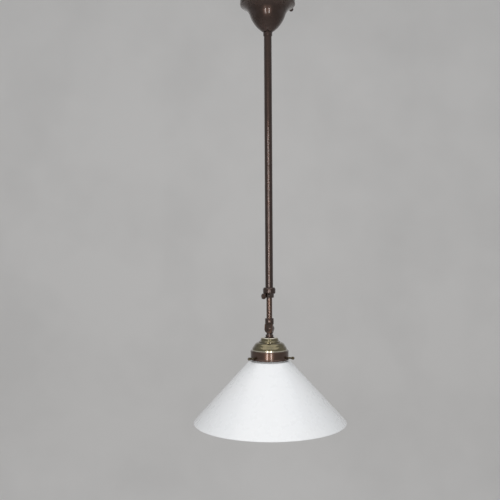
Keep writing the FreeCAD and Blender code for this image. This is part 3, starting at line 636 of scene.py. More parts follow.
@dataclass(frozen=True)
class OpalGlass:
    """Flashed opal glass: milky all through, with faint drawn waves under a polished face."""

    base: Colour = (0.875, 0.88, 0.885)
    thin: Colour = (0.85, 0.865, 0.88)
    smooth: float = 0.26
    rough: float = 0.30
    scatter: float = 0.004
    cloud: float = 9.0
    cloud_span: Span = (0.35, 0.70)
    cloud_share: float = 0.7
    milk: float = 60.0
    milk_span: Span = (0.3, 0.7)
    wave: float = 14.0
    wave_stretch: Colour = (1.0, 1.0, 0.4)
    wave_strength: float = 0.12
    wave_depth: float = 0.2
    milkiness: float = 0.35
    coat: float = 0.12
    coat_rough: float = 0.12

    def material(self, name: str) -> bpy.types.Material:
        """Builds the material.

        Args:
            name: The material's name.

        Returns:
            The material.
        """
        shade = Shader(name)
        clouds = shade.noise(self.cloud, 4.0)
        milk = shade.noise(self.milk, 6.0)
        waves = shade.noise(self.wave, 2.0, self.wave_stretch)
        thinned = shade.span(clouds, *self.cloud_span, 0.0, self.cloud_share)
        colour = shade.blend(thinned, self.base, self.thin)
        roughness = shade.span(milk, *self.milk_span, self.smooth, self.rough)
        normal = shade.bump(waves, self.wave_strength, self.wave_depth)
        shade.feed(Base_Color=colour, Roughness=roughness, Normal=normal, IOR=1.50,
                   Subsurface_Weight=self.milkiness, Subsurface_Radius=(self.scatter,) * 3,
                   Subsurface_Scale=1.0, Coat_Weight=self.coat, Coat_Roughness=self.coat_rough)
        return shade.material


FINISHES: dict[Slot, Metal | Moulded | OpalGlass] = {
    Slot.DARK_BRONZE: Metal((0.075, 0.045, 0.035), (0.034, 0.022, 0.018), (0.30, 0.15, 0.09),
                            0.22, 0.36, wear_share=0.55, coat=0.75, coat_rough=0.08),
    Slot.COPPER_BRONZE: Metal((0.120, 0.068, 0.048), (0.050, 0.031, 0.024), (0.60, 0.46, 0.34),
                              0.24, 0.32, wear_share=0.75, coat=0.7, coat_rough=0.08),
    # The aged brass paints two highlight rings on the gallery cap, near its foot and at its top: painted
    # highlights, not wear.
    Slot.AGED_BRASS: Metal((0.200, 0.165, 0.085), (0.065, 0.060, 0.032), (0.78, 0.72, 0.58),
                           0.20, 0.28, wear_share=0.9, coat=1.0, coat_rough=0.06,
                           highlight_rims=(("gallery_cap", 0.04), ("gallery_cap", 0.99))),
    Slot.SCREW_BRASS: Metal((0.110, 0.085, 0.050), (0.045, 0.038, 0.024), (0.40, 0.32, 0.20),
                            0.22, 0.36, wear_share=0.5, coat=0.5),
    Slot.RAW_BRASS: Metal((0.62, 0.44, 0.19), (0.42, 0.29, 0.13), (0.80, 0.64, 0.36), 0.22, 0.38,
                          wear_share=0.4),
    Slot.ZINC_STEEL: Metal((0.60, 0.61, 0.62), (0.44, 0.45, 0.45), (0.76, 0.77, 0.78), 0.28, 0.48,
                           wear_share=0.4, ring_strength=0.03),
    Slot.SPRING_STEEL: Metal((0.48, 0.49, 0.51), (0.30, 0.30, 0.31), (0.66, 0.66, 0.68), 0.20, 0.34,
                             wear_share=0.3, ring_strength=0.02),
    Slot.WHITE_NYLON: Moulded((0.74, 0.74, 0.71), (0.66, 0.65, 0.61), 0.34, 0.50, depth=0.2),
    Slot.PORCELAIN: Moulded((0.78, 0.77, 0.73), (0.70, 0.68, 0.62), 0.14, 0.28, coat=0.5),
    Slot.FIBRE: Moulded((0.14, 0.045, 0.035), (0.09, 0.03, 0.025), 0.55, 0.75, scale=500.0,
                        grain_strength=0.3),
    Slot.OPAL_GLASS: OpalGlass(),
}


# The workshop


class Workshop:
    """Makes meshes, dresses them and seats them on their bodies."""

    def __init__(self) -> None:
        """Builds the node trees and the materials."""
        self.turned = turned_tree()
        self.ridges = ridges_tree()
        self.wound = coil_tree()
        self.materials = {slot: finish.material(slot.value) for slot, finish in FINISHES.items()}
        self.count = 0

    def turn(self, name: str, spots: Sequence[Spot], slot: Slot, axis: Axis = Axis.UP,
             segments: int = 128, round_off: float = 0.18) -> bpy.types.Mesh:
        """Turns an outline into a mesh about +Z.

        Args:
            name: The mesh's name.
            spots: The outline, anticlockwise, in millimetres.
            slot: The finish.
            axis: How the outline's x and y are read.
            segments: Steps round the turn.
            round_off: Rounding of each corner that names none.

        Returns:
            The mesh, with smooth shading and eased corners.
        """
        line = trace(relax(spots, round_off))
        pairs = [(point.x, point.y) if axis is Axis.UP else (point.y, point.x) for point in line]
        turn = sum(a[0] * b[1] - b[0] * a[1] for a, b in zip(pairs, pairs[1:] + pairs[:1]))
        if turn > 0:
            pairs.reverse()
        outline = bpy.data.meshes.new(name + "_outline")
        count = len(pairs)
        outline.from_pydata([(max(r, 0.0) * MM, z * MM, 0.0) for r, z in pairs],
                            [(index, (index + 1) % count) for index in range(count)], [])
        made = self.turned.run(name, outline, {
            "Path Radius": SWEEP_RADIUS, "Segments": segments, "Finish": self.materials[slot]})
        return weld(made, TURNED_REACH)

    def knurl(self, count: int, radius: float, length: float, width: float, height: float,
              slot: Slot) -> bpy.types.Mesh:
        """Makes a ring of straight ridges about +Z, in millimetres.

        Args:
            count: How many ridges.
            radius: From the axis to their foot.
            length: Along the axis.
            width: Across one ridge.
            height: Out from the foot.
            slot: The finish.

        Returns:
            The mesh.
        """
        return self.ridges.run("ridges", None, {
            "Count": count, "Radius": radius * MM, "Length": length * MM, "Width": width * MM,
            "Height": height * MM, "Finish": self.materials[slot]})

    def coil(self, turns: float, radius: float, height: float, wire: float, slot: Slot,
             steps: int = 20, sides: int = 8) -> bpy.types.Mesh:
        """Winds a helix of round wire up from the origin, in millimetres.

        Args:
            turns: How many turns.
            radius: From the axis to the wire's middle.
            height: From the first end's middle to the last's.
            wire: The wire's own radius.
            slot: The finish.
            steps: Points on each turn.
            sides: Points round the wire.

        Returns:
            The mesh.
        """
        return self.wound.run("coil", None, {
            "Turns": turns, "Radius": radius * MM, "Height": height * MM, "Wire": wire * MM,
            "Steps": steps, "Sides": sides, "Finish": self.materials[slot]})

    def recast(self, node: str, slot: Slot) -> bpy.types.Mesh:
        """A merged copy of a CAD node's mesh, with smooth rounds and crisp edges.

        Args:
            node: The CAD node.
            slot: The finish.

        Returns:
            The mesh.
        """
        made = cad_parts[node].data.copy()
        made.name = node
        made.materials.clear()
        made.materials.append(self.materials[slot])
        for face in made.polygons:
            face.material_index = 0
        return weld(made, CAD_REACH, flat=FLAT_ANGLE)

    def fit(self, name: str, parts: Iterable[bpy.types.Mesh], body: str, slot: Slot,
            nodes: Sequence[str], bevel: float = 0.0) -> bpy.types.Object:
        """Joins meshes into one piece and seats it on a body.

        Args:
            name: The piece's name.
            parts: Its meshes, already in place.
            body: The body that it rides on.
            slot: Its material slot.
            nodes: The CAD nodes that it stands for.
            bevel: The width of a bevel on its sharp edges, in millimetres.

        Returns:
            The piece.
        """
        whole = bmesh.new()
        for part in parts:
            whole.from_mesh(part)
        mesh = bpy.data.meshes.new(name)
        whole.to_mesh(mesh)
        whole.free()
        mesh.materials.append(self.materials[slot])
        mesh.shade_smooth()
        mesh.set_sharp_from_angle(angle=SMOOTH_ANGLE)
        piece = bpy.data.objects.new(name, mesh)
        bpy.context.scene.collection.objects.link(piece)
        if bevel:
            edge = piece.modifiers.new("Edges", "BEVEL")
            edge.width = bevel * MM
            edge.segments = 2
            edge.limit_method = "ANGLE"
            edge.angle_limit = BEVEL_ANGLE
            edge.harden_normals = True
        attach(piece, body)
        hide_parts(*nodes)
        self.count += 1
        log.info("%s on %s: %d faces, %s", name, body, len(mesh.polygons), slot.value)
        return piece

    def copy_node(self, node: str, body: str, slot: Slot, bevel: float = 0.0) -> bpy.types.Object:
        """Fits a merged copy of one CAD node in its place."""
        return self.fit(node + "_piece", [self.recast(node, slot)], body, slot, [node], bevel)

    def copy_nodes(self, body: str, copies: Iterable[tuple[str, Slot, float]]) -> None:
        """Fits merged copies of several CAD nodes on one body.

        Args:
            body: The body that they ride on.
            copies: Each node with its finish and the width of its bevel, in millimetres.
        """
        for node, slot, bevel in copies:
            self.copy_node(node, body, slot, bevel)


def relax(spots: Sequence[Spot], round_off: float) -> list[Spot]:
    """Rounds each corner that names no ease, within its sides.

    Args:
        spots: An outline's corners.
        round_off: The ease to give, in millimetres.

    Returns:
        The corners with their ease.
    """
    eased = []
    for index, spot in enumerate(spots):
        before, after = spots[index - 1], spots[(index + 1) % len(spots)]
        room = min(math.hypot(spot.x - other.x, spot.y - other.y) for other in (before, after))
        ease = min(spot.ease or round_off, room * EASE_SHARE)
        eased.append(Spot(spot.x, spot.y, spot.swell, ease))
    return eased


def weld(mesh: bpy.types.Mesh, reach: float, flat: float = 0.0) -> bpy.types.Mesh:
    """Merges a mesh's doubles and drops its faces without area.

    Args:
        mesh: The mesh, changed in place.
        reach: Points closer than this become one, in metres.
        flat: Faces that meet under this angle become one, unless it is 0.

    Returns:
        The mesh.
    """
    work = bmesh.new()
    work.from_mesh(mesh)
    bmesh.ops.remove_doubles(work, verts=work.verts, dist=reach)
    bmesh.ops.dissolve_degenerate(work, edges=work.edges, dist=reach)
    if flat:
        bmesh.ops.dissolve_limit(work, angle_limit=flat, verts=work.verts, edges=work.edges)
    work.to_mesh(mesh)
    work.free()
    return mesh


def aimed(level: float, azimuth: float, along: float = 0.0) -> Matrix:
    """The place of a piece turned about +Z that points out of the lamp.

    Args:
        level: Its height, in metres.
        azimuth: Its direction from +X towards +Y, in degrees.
        along: How far out its origin lies, in millimetres.

    Returns:
        The matrix.
    """
    return (Matrix.Translation((0.0, 0.0, level)) @ Matrix.Rotation(math.radians(azimuth), 4, "Z")
            @ Matrix.Translation((along * MM, 0.0, 0.0)) @ Matrix.Rotation(math.pi / 2, 4, "Y"))


def lifted(level: float) -> Matrix:
    """The place of an upright piece whose origin is at level, in metres."""
    return Matrix.Translation((0.0, 0.0, level))


def moved(mesh: bpy.types.Mesh, place: Matrix) -> bpy.types.Mesh:
    """Moves a mesh to its place."""
    mesh.transform(place)
    return mesh


def low(node: str) -> float:
    """The height of a CAD node's lowest point, in metres."""
    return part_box(node)[0].z


def high(node: str) -> float:
    """The height of a CAD node's highest point, in metres."""
    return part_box(node)[1].z


def tall(node: str) -> float:
    """The height of a CAD node, in millimetres."""
    return (high(node) - low(node)) / MM


def sleeve(bore: float, radius: float, length: float) -> list[Spot]:
    """The outline of a plain sleeve.

    Args:
        bore: Its inner radius, in millimetres.
        radius: Its outer radius, in millimetres.
        length: Its height, in millimetres.

    Returns:
        The corners.
    """
    return [Spot(bore, 0), Spot(radius, 0), Spot(radius, length), Spot(bore, length)]


def middle(node: str) -> Vector:
    """The middle of a CAD node's box, in metres."""
    first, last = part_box(node)
    return (Vector(first) + Vector(last)) / 2


# Sub-assemblies


@dataclass(frozen=True)
class CeilingFittings:
    """What hides under the canopy: strap, terminal block, earth screw and the tube's top."""

    bevel: float = 0.25

    def build(self, shop: Workshop) -> None:
        """Builds the fittings under the canopy.

        Args:
            shop: Where the meshes and the pieces are made.
        """
        zinc, brass, nylon = Slot.ZINC_STEEL, Slot.RAW_BRASS, Slot.WHITE_NYLON
        shop.copy_nodes("root", [
            ("ceiling_strap", zinc, self.bevel), ("terminal_block", nylon, self.bevel),
            ("terminal_screws", zinc, 0.0), ("block_screw", zinc, 0.0), ("earth_screw", brass, 0.0),
            ("canopy_seat", brass, 0.0), ("canopy_nut", brass, self.bevel), ("end_bush", nylon, 0.0)])


@dataclass(frozen=True)
class Canopy:
    """The spun bell, the ring under its tip and its two ball-ended side screws."""

    depth: float = 57.5
    radius: float = 45.0
    sheet: float = 1.2
    tip_radius: float = 7.2
    hole: float = 6.4
    shoulder_radius: float = 29.5
    shoulder_height: float = 29.0
    cove_radius: float = 32.0
    cove_height: float = 34.0
    skirt_height: float = 13.5
    ring_radius: float = 7.4
    ring_height: float = 6.3
    ring_cut: float = 0.7
    tube_radius: float = 6.35
    screw_radius: float = 2.0
    screw_azimuth: float = 40.0
    screw_start: float = 39.2
    screw_stop: float = 45.3
    screw_collar: float = 1.6
    ball: float = 3.7
    ball_place: float = 53.0
    thread_pitch: float = 0.7
    thread_wire: float = 0.17
    core_inset: float = 0.12
    thread_inset: float = 0.16

    def bell(self) -> list[Spot]:
        """The bell's outline, from its tip up.

        Returns:
            The corners.
        """
        skin, top = self.sheet, self.depth
        skirt = top - self.skirt_height
        return [
            Spot(self.hole, 0), Spot(self.tip_radius, 0, ease=0.4),
            Spot(self.shoulder_radius, self.shoulder_height, 0.09, 1.2),
            Spot(self.cove_radius, self.cove_height, ease=0.8),
            Spot(self.radius, skirt, -0.08, 1.4),
            Spot(self.radius, top), Spot(self.radius - skin, top),
            Spot(self.radius - skin, skirt + skin, ease=1.2),
            Spot(self.cove_radius - skin, self.cove_height + skin, 0.08),
            Spot(self.shoulder_radius - skin, self.shoulder_height + skin),
            Spot(self.hole, skin, -0.09)]

    def screw(self) -> list[Spot]:
        """A side screw's outline, along its axis.

        Returns:
            The corners.
        """
        ball_start = self.ball_place - self.ball * 0.8
        neck, flange = self.screw_radius * 0.9, self.screw_radius * 1.5
        step = self.screw_stop + self.screw_collar
        shank = self.screw_radius - self.core_inset
        return [
            Spot(self.screw_start, 0), Spot(self.ball_place + self.ball, 0, ease=0.01),
            Spot(ball_start, self.ball * 0.6, 0.38), Spot(step, neck), Spot(step, flange),
            Spot(self.screw_stop, flange), Spot(self.screw_stop, shank),
            Spot(self.screw_start, shank)]

    def ring(self) -> list[Spot]:
        """The outline of the ring under the tip."""
        wide, tall, cut = self.ring_radius, self.ring_height, self.ring_cut
        return [
            Spot(self.tube_radius, 0), Spot(wide - cut, 0), Spot(wide, cut), Spot(wide, tall - cut),
            Spot(wide - cut, tall), Spot(self.tube_radius, tall)]

    def build(self, shop: Workshop) -> None:
        """Builds the bell, its ring and its screws.

        Args:
            shop: Where the meshes and the pieces are made.
        """
        slot = Slot.DARK_BRONZE
        bell = moved(shop.turn("canopy", self.bell(), slot, segments=192), lifted(low("canopy")))
        shop.fit("canopy_bell", [bell], "root", slot, ["canopy"])
        ring = moved(shop.turn("ring", self.ring(), slot), lifted(low("canopy_ring")))
        shop.fit("canopy_tip_ring", [ring], "root", slot, ["canopy_ring"])
        run = self.screw_stop - self.screw_start
        for side, turn in (("right", 0.0), ("left", 180.0)):
            node = "canopy_screw_" + side
            level, azimuth = middle(node).z, self.screw_azimuth + turn
            screw = moved(shop.turn(node, self.screw(), slot, Axis.OUT, 48), aimed(level, azimuth))
            thread = shop.coil(run / self.thread_pitch, self.screw_radius - self.thread_inset, run,
                               self.thread_wire, slot)
            moved(thread, aimed(level, azimuth, self.screw_start))
            shop.fit(node + "_piece", [screw, thread], node, slot, [node])


@dataclass(frozen=True)
class Tubes:
    """The outer tube, the inner tube that slides in it, and the bush between them."""

    outer_radius: float = 6.35
    outer_wall: float = 1.0
    inner_radius: float = 4.7625
    inner_wall: float = 0.9

    def tube(self, shop: Workshop, node: str, radius: float, wall: float, slot: Slot,
             body: str) -> None:
        """Builds one drawn tube between its CAD node's ends.

        Args:
            shop: Where the mesh and the piece are made.
            node: The CAD node.
            radius: The tube's outer radius.
            wall: Its wall.
            slot: The finish.
            body: The body that it rides on.
        """
        outline = sleeve(radius - wall, radius, tall(node))
        mesh = moved(shop.turn(node, outline, slot, segments=96), lifted(low(node)))
        shop.fit(node + "_piece", [mesh], body, slot, [node])

    def build(self, shop: Workshop) -> None:
        """Builds the tubes and what guides the inner one.

        Args:
            shop: Where the meshes and the pieces are made.
        """
        self.tube(shop, "outer_tube", self.outer_radius, self.outer_wall, Slot.DARK_BRONZE, "root")
        self.tube(shop, "inner_tube", self.inner_radius, self.inner_wall, Slot.COPPER_BRONZE,
                  "stem")
        shop.copy_node("stop_ring", "stem", Slot.RAW_BRASS)
        shop.copy_node("bush_clip", "stem", Slot.ZINC_STEEL)
        shop.copy_node("slide_bush", "slider", Slot.WHITE_NYLON)


@dataclass(frozen=True)
class LockCollar:
    """The collar at the outer tube's foot, with its knurled clamp screw."""

    neck_radius: float = 7.75
    neck_gap: float = 0.3
    clamp_azimuth: float = 218.0
    shank_start: float = 6.4125
    shank_radius: float = 1.7
    knob_start: float = 9.8
    knob_length: float = 4.0
    knob_radius: float = 4.7
    knob_dome: float = 0.5
    knob_face_cut: float = 1.0
    knob_cut: float = 0.7
    knob_back_share: float = 0.55
    boss_share: float = 1.25
    boss_run: float = 0.8
    ridge_height: float = 0.3
    ridge_width: float = 0.34
    ridge_margin: float = 1.5
    ridge_sink: float = 0.05
    ridges: int = 36

    def screw(self) -> list[Spot]:
        """The clamp screw's outline, along its axis.

        Returns:
            The corners.
        """
        knob, end, cut = self.knob_start, self.knob_start + self.knob_length, self.knob_cut
        wide = self.knob_radius - self.ridge_height
        boss = self.shank_radius * self.boss_share
        stop = self.neck_radius + self.neck_gap
        return [
            Spot(self.shank_start, 0), Spot(end + self.knob_dome, 0, ease=0.01),
            Spot(end, wide - self.knob_face_cut), Spot(end - cut, wide), Spot(knob + cut, wide),
            Spot(knob, wide - cut), Spot(knob, self.knob_radius * self.knob_back_share),
            Spot(knob - self.boss_run, boss), Spot(stop, boss),
            Spot(stop, self.shank_radius), Spot(self.shank_start, self.shank_radius)]

    def build(self, shop: Workshop) -> None:
        """Builds the collar, its clamp screw and the pad behind it.

        Args:
            shop: Where the meshes and the pieces are made.
        """
        slot = Slot.DARK_BRONZE
        shop.copy_node("lock_collar", "root", slot)
        level = middle("clamp_screw").z
        screw = moved(shop.turn("clamp", self.screw(), slot, Axis.OUT, 72),
                      aimed(level, self.clamp_azimuth))
        foot = self.knob_radius - self.ridge_height - self.ridge_sink
        knurl = shop.knurl(self.ridges, foot, self.knob_length - self.ridge_margin, self.ridge_width,
                           self.ridge_height, slot)
        moved(knurl, aimed(level, self.clamp_azimuth, self.knob_start + self.knob_length / 2))
        shop.fit("clamp_screw_piece", [screw, knurl], "clamp_screw", slot, ["clamp_screw"])
        shop.copy_node("clamp_pad", "clamp_pad", Slot.RAW_BRASS)


@dataclass(frozen=True)
class Knuckle:
    """The swivel: two halves with a wireway round their pivot, a slotted screw and its nut."""

    bevel: float = 0.35
    screw_bevel: float = 0.15
    nut_bevel: float = 0.2

    def build(self, shop: Workshop) -> None:
        """Builds the knuckle's halves, screw, nut and washers.

        Args:
            shop: Where the meshes and the pieces are made.
        """
        shop.copy_node("knuckle_upper", "stem", Slot.DARK_BRONZE, self.bevel)
        shop.copy_node("knuckle_lower", "shade_carrier", Slot.DARK_BRONZE, self.bevel)
        shop.copy_node("pivot_screw", "stem", Slot.DARK_BRONZE, self.screw_bevel)
        shop.copy_node("pivot_nut", "stem", Slot.DARK_BRONZE, self.nut_bevel)
        shop.copy_node("spring_washer", "stem", Slot.ZINC_STEEL)
        shop.copy_node("friction_washer", "shade_carrier", Slot.FIBRE)


@dataclass(frozen=True)
class Gallery:
    """The spun cap, the band that holds the glass, and the nipple and nut inside them."""

    cap_sheet: float = 0.9
    cap_height: float = 21.0
    hole: float = 5.05
    top_radius: float = 12.7
    drum_radius: float = 14.6
    drum_foot: float = 17.0
    bead_radius: float = 17.4
    bead_foot: float = 13.4
    dome_radius: float = 24.9
    dome_foot: float = 8.7
    foot_radius: float = 28.6
    step_out: float = 0.7
    step_drop: float = 1.4
    bead_waist: float = 0.5
    bead_rise: float = 1.7
    crown_out: float = 1.0
    crown_drop: float = 0.8
    inner_drop: float = 0.7
    wall_slant: float = 1.3
    band_sheet: float = 1.0
    band_radius: float = 31.2
    band_height: float = 14.6
    band_bead: float = 32.0
    band_bead_height: float = 2.4
    band_bead_ease: float = 0.4
    band_groove: float = 0.3
    band_cut: float = 0.6
    flange_radius: float = 24.5
    nipple_radius: float = 5.0
    nipple_bore: float = 3.6
    nut_bevel: float = 0.2
    core_inset: float = 0.22
    thread_pitch: float = 1.0
    thread_wire: float = 0.2
    thread_steps: int = 24
    washer_radius: float = 8.0

    def cap(self) -> list[Spot]:
        """The cap's outline, with its drum, bead, dome and lower step.

        Returns:
            The corners, up the outside and down the inside.
        """
        skin, top = self.cap_sheet, self.cap_height
        outside = [
            Spot(self.foot_radius, 0, ease=0.3),
            Spot(self.dome_radius + self.step_out, self.dome_foot - self.step_drop, 0.12, 0.5),
            Spot(self.dome_radius, self.dome_foot, ease=0.4),
            Spot(self.bead_radius, self.bead_foot, 0.14, 0.3),
            Spot(self.bead_radius - self.bead_waist, self.bead_foot + self.bead_rise, 0.2, 0.3),
            Spot(self.drum_radius, self.drum_foot, -0.2, 0.3),
            Spot(self.top_radius + self.crown_out, top - self.crown_drop, ease=0.4),
            Spot(self.top_radius, top, ease=0.3), Spot(self.hole, top)]
        inside = [Spot(self.hole, top - skin), Spot(self.top_radius - skin, top - skin)]
        for radius, level in ((self.drum_radius, self.drum_foot), (self.bead_radius, self.bead_foot),
                              (self.dome_radius, self.dome_foot - self.inner_drop)):
            inside.append(Spot(radius - skin * self.wall_slant, level - skin))
        inside.append(Spot(self.foot_radius - skin, 0))
        return outside + inside

    def band(self) -> list[Spot]:
        """The band's outline, with its flange and rolled lower bead.

        Returns:
            The corners.
        """
        skin, wide, tall = self.band_sheet, self.band_radius, self.band_height
        bead, cut = self.band_bead - self.band_bead_ease, self.band_cut
        return [
            Spot(wide - skin, 0), Spot(bead, 0), Spot(bead, self.band_bead_height, 0.35, 0.1),
            Spot(wide, self.band_bead_height + self.band_groove), Spot(wide, tall - cut, ease=0.4),
            Spot(wide - cut, tall, ease=0.3), Spot(self.flange_radius, tall),
            Spot(self.flange_radius, tall - skin), Spot(wide - skin, tall - skin)]

    def build(self, shop: Workshop) -> None:
        """Builds the cap, the band, and what screws them together.

        Args:
            shop: Where the meshes and the pieces are made.
        """
        body = "shade_carrier"
        cap = moved(shop.turn("cap", self.cap(), Slot.AGED_BRASS, segments=160),
                    lifted(low("gallery_cap")))
        shop.fit("gallery_cap_piece", [cap], body, Slot.AGED_BRASS, ["gallery_cap"])
        band = moved(shop.turn("band", self.band(), Slot.COPPER_BRONZE, segments=160),
                     lifted(low("gallery_ring")))
        shop.fit("gallery_ring_piece", [band], body, Slot.COPPER_BRONZE, ["gallery_ring"])
        washer = shop.turn("washer", sleeve(self.nipple_radius, self.washer_radius, tall("cap_washer")),
                           Slot.DARK_BRONZE)
        moved(washer, lifted(low("cap_washer")))
        shop.fit("cap_washer_piece", [washer], body, Slot.DARK_BRONZE, ["cap_washer"])
        self.nipple(shop, body)
        shop.copy_node("gallery_nut", body, Slot.RAW_BRASS, self.nut_bevel)

    def nipple(self, shop: Workshop, body: str) -> None:
        """Builds the hollow nipple with its thread.

        Args:
            shop: Where the meshes and the piece are made.
            body: The body that it rides on.
        """
        slot, length = Slot.RAW_BRASS, tall("nipple")
        core = self.nipple_radius - self.core_inset
        pipe = shop.turn("nipple", sleeve(self.nipple_bore, core, length), slot, segments=64)
        thread = shop.coil(length / self.thread_pitch, core, length, self.thread_wire, slot,
                           self.thread_steps)
        for mesh in (pipe, thread):
            moved(mesh, lifted(low("nipple")))
        shop.fit("nipple_piece", [pipe, thread], body, slot, ["nipple"])


@dataclass(frozen=True)
class Shade:
    """The opal glass cone and the three screws that carry its lip."""

    radius: float = 125.0
    height: float = 112.3
    glass: float = 3.0
    lip_radius: float = 28.5
    lip_height: float = 4.4
    lip_cut: float = 1.0
    neck_radius: float = 26.0
    cone_radius: float = 33.0
    cone_drop: float = 12.25
    neck_rise: float = 3.6
    screw_tip: float = 26.3
    screw_end: float = 43.2
    screw_radius: float = 1.6
    head_radius: float = 2.4
    head_length: float = 4.6
    head_cut: float = 0.5
    crown_drop: float = 1.0
    crown_share: float = 0.6
    tip_drop: float = 0.6
    tip_cut: float = 0.5
    core_inset: float = 0.1
    first_azimuth: float = 335.5
    screws: int = 3
    thread_pitch: float = 0.6
    thread_wire: float = 0.14
    thread_inset: float = 0.15
    thread_start: float = 0.7
    thread_margin: float = 0.8
    ridges: int = 24
    ridge_height: float = 0.2
    ridge_width: float = 0.24
    ridge_margin: float = 2.0
    ridge_sink: float = 0.04
    ridge_shift: float = 0.2

    def cone(self) -> list[Spot]:
        """The shade's outline, from its rim up to its lip.

        Returns:
            The corners, up the outside and down the inside.
        """
        glass, top, neck, lip = self.glass, self.height, self.neck_radius, self.lip_radius
        slope = (self.radius - self.cone_radius) / (top - self.cone_drop)
        slant = math.hypot(slope, 1.0)
        inset, rim, cut = glass * slant, glass / slant, self.lip_cut
        shoulder = top - self.cone_drop
        return [
            Spot(self.radius - inset + rim * 0.3, glass * 0.38),
            Spot(self.radius - 0.4, glass * 0.23, 0.3, 0.3),
            Spot(self.cone_radius, shoulder, ease=2.0), Spot(neck, shoulder + self.neck_rise, -0.16, 0.5),
            Spot(neck, top - self.lip_height, ease=0.5), Spot(lip, top - self.lip_height, ease=0.5),
            Spot(lip, top - cut, ease=0.4), Spot(lip - cut, top, ease=0.4),
            Spot(neck - glass + cut, top, ease=0.4), Spot(neck - glass, top - cut, ease=0.4),
            Spot(neck - glass, shoulder + self.neck_rise), Spot(self.cone_radius - inset, shoulder, 0.12)]

    def screw(self) -> list[Spot]:
        """A shade screw's outline, along its axis.

        Returns:
            The corners.
        """
        start, wide = self.screw_end - self.head_length, self.head_radius - self.ridge_height
        shank, cut = self.screw_radius - self.core_inset, self.head_cut
        return [
            Spot(self.screw_tip, 0), Spot(self.screw_end, 0, ease=0.01),
            Spot(self.screw_end, wide * self.crown_share, ease=0.5),
            Spot(self.screw_end - self.crown_drop, wide, ease=0.4),
            Spot(start + cut, wide), Spot(start, wide - cut), Spot(start, shank),
            Spot(self.screw_tip + self.tip_drop, shank), Spot(self.screw_tip, shank - self.tip_cut)]

    def build(self, shop: Workshop) -> None:
        """Builds the glass and its screws.

        Args:
            shop: Where the meshes and the pieces are made.
        """
        cone = moved(shop.turn("cone", self.cone(), Slot.OPAL_GLASS, segments=256),
                     lifted(low("glass_shade")))
        shop.fit("glass_shade_piece", [cone], "shade_carrier", Slot.OPAL_GLASS, ["glass_shade"])
        slot = Slot.SCREW_BRASS
        run = self.screw_end - self.head_length - self.screw_tip - self.thread_margin
        for index in range(self.screws):
            node = "shade_screw_%d" % (index + 1)
            level, azimuth = middle(node).z, self.first_azimuth + index * 360 / self.screws
            screw = moved(shop.turn(node, self.screw(), slot, Axis.OUT, 48), aimed(level, azimuth))
            thread = shop.coil(run / self.thread_pitch, self.screw_radius - self.thread_inset, run,
                               self.thread_wire, slot)
            moved(thread, aimed(level, azimuth, self.screw_tip + self.thread_start))
            knurl = shop.knurl(self.ridges, self.head_radius - self.ridge_height - self.ridge_sink,
                               self.head_length - self.ridge_margin, self.ridge_width,
                               self.ridge_height, slot)
            head = self.screw_end - self.head_length / 2 - self.ridge_shift
            moved(knurl, aimed(level, azimuth, head))
            shop.fit(node + "_piece", [screw, thread, knurl], node, slot, [node])


@dataclass(frozen=True)
class Lampholder:
    """The bayonet holder: cap, union ring, porcelain core, barrel, posts and sprung plungers."""

    union_radius: float = 15.6
    union_bore: float = 12.1
    cap_radius: float = 14.0
    union_lip: float = 1.0
    union_cut: float = 0.8
    union_ridges: int = 60
    ridge_height: float = 0.35
    ridge_width: float = 0.55
    ridge_margin: float = 2.2
    ridge_sink: float = 0.05
    core_bevel: float = 0.2
    barrel_bevel: float = 0.12
    terminal_bevel: float = 0.15
    spring_radius: float = 1.85
    spring_wire: float = 0.28
    spring_turns: float = 5.5
    spring_steps: int = 28
    plunger_travel: float = 3.5

    def union(self, height: float) -> list[Spot]:
        """The union ring's outline for its height."""
        wide, cut, lip = self.union_radius - self.ridge_height, self.union_cut, self.union_lip
        return [
            Spot(self.union_bore, 0), Spot(wide - cut, 0), Spot(wide, cut), Spot(wide, height - cut),
            Spot(wide - cut, height), Spot(self.cap_radius, height), Spot(self.cap_radius, lip),
            Spot(self.union_bore, lip)]

    def build(self, shop: Workshop) -> None:
        """Builds the lampholder from its union ring inwards.

        Args:
            shop: Where the meshes and the pieces are made.
        """
        body, brass = "shade_carrier", Slot.RAW_BRASS
        height = tall("union_ring")
        ring = moved(shop.turn("union", self.union(height), brass), lifted(low("union_ring")))
        knurl = shop.knurl(self.union_ridges, self.union_radius - self.ridge_height - self.ridge_sink,
                           height - self.ridge_margin, self.ridge_width, self.ridge_height, brass)
        moved(knurl, lifted(middle("union_ring").z))
        shop.fit("union_ring_piece", [ring, knurl], body, brass, ["union_ring"])
        shop.copy_nodes(body, [
            ("holder_cap", brass, 0.0), ("holder_core", Slot.PORCELAIN, self.core_bevel),
            ("holder_barrel", brass, self.barrel_bevel),
            ("holder_terminals", brass, self.terminal_bevel),
            ("holder_terminal_screws", Slot.ZINC_STEEL, 0.0)])
        for side in "ab":
            shop.copy_node("plunger_" + side, "plunger_" + side, brass)
            self.spring(shop, side, body)

    def spring(self, shop: Workshop, side: str, body: str) -> None:
        """Winds the spring above one plunger and gives its piece a mesh of its own.

        Args:
            shop: Where the mesh and the piece are made.
            side: The plunger's letter.
            body: The body that the spring rides on.
        """
        node, wire, slot = "plunger_spring_" + side, self.spring_wire, Slot.SPRING_STEEL
        run = tall(node) - 2 * wire
        coil = shop.coil(self.spring_turns, self.spring_radius, run, wire, slot, self.spring_steps)
        place = middle(node)
        moved(coil, Matrix.Translation((place.x, place.y, low(node) + wire * MM)))
        piece = shop.fit(node + "_piece", [coil], body, slot, [node])
        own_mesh(piece)


# Studio


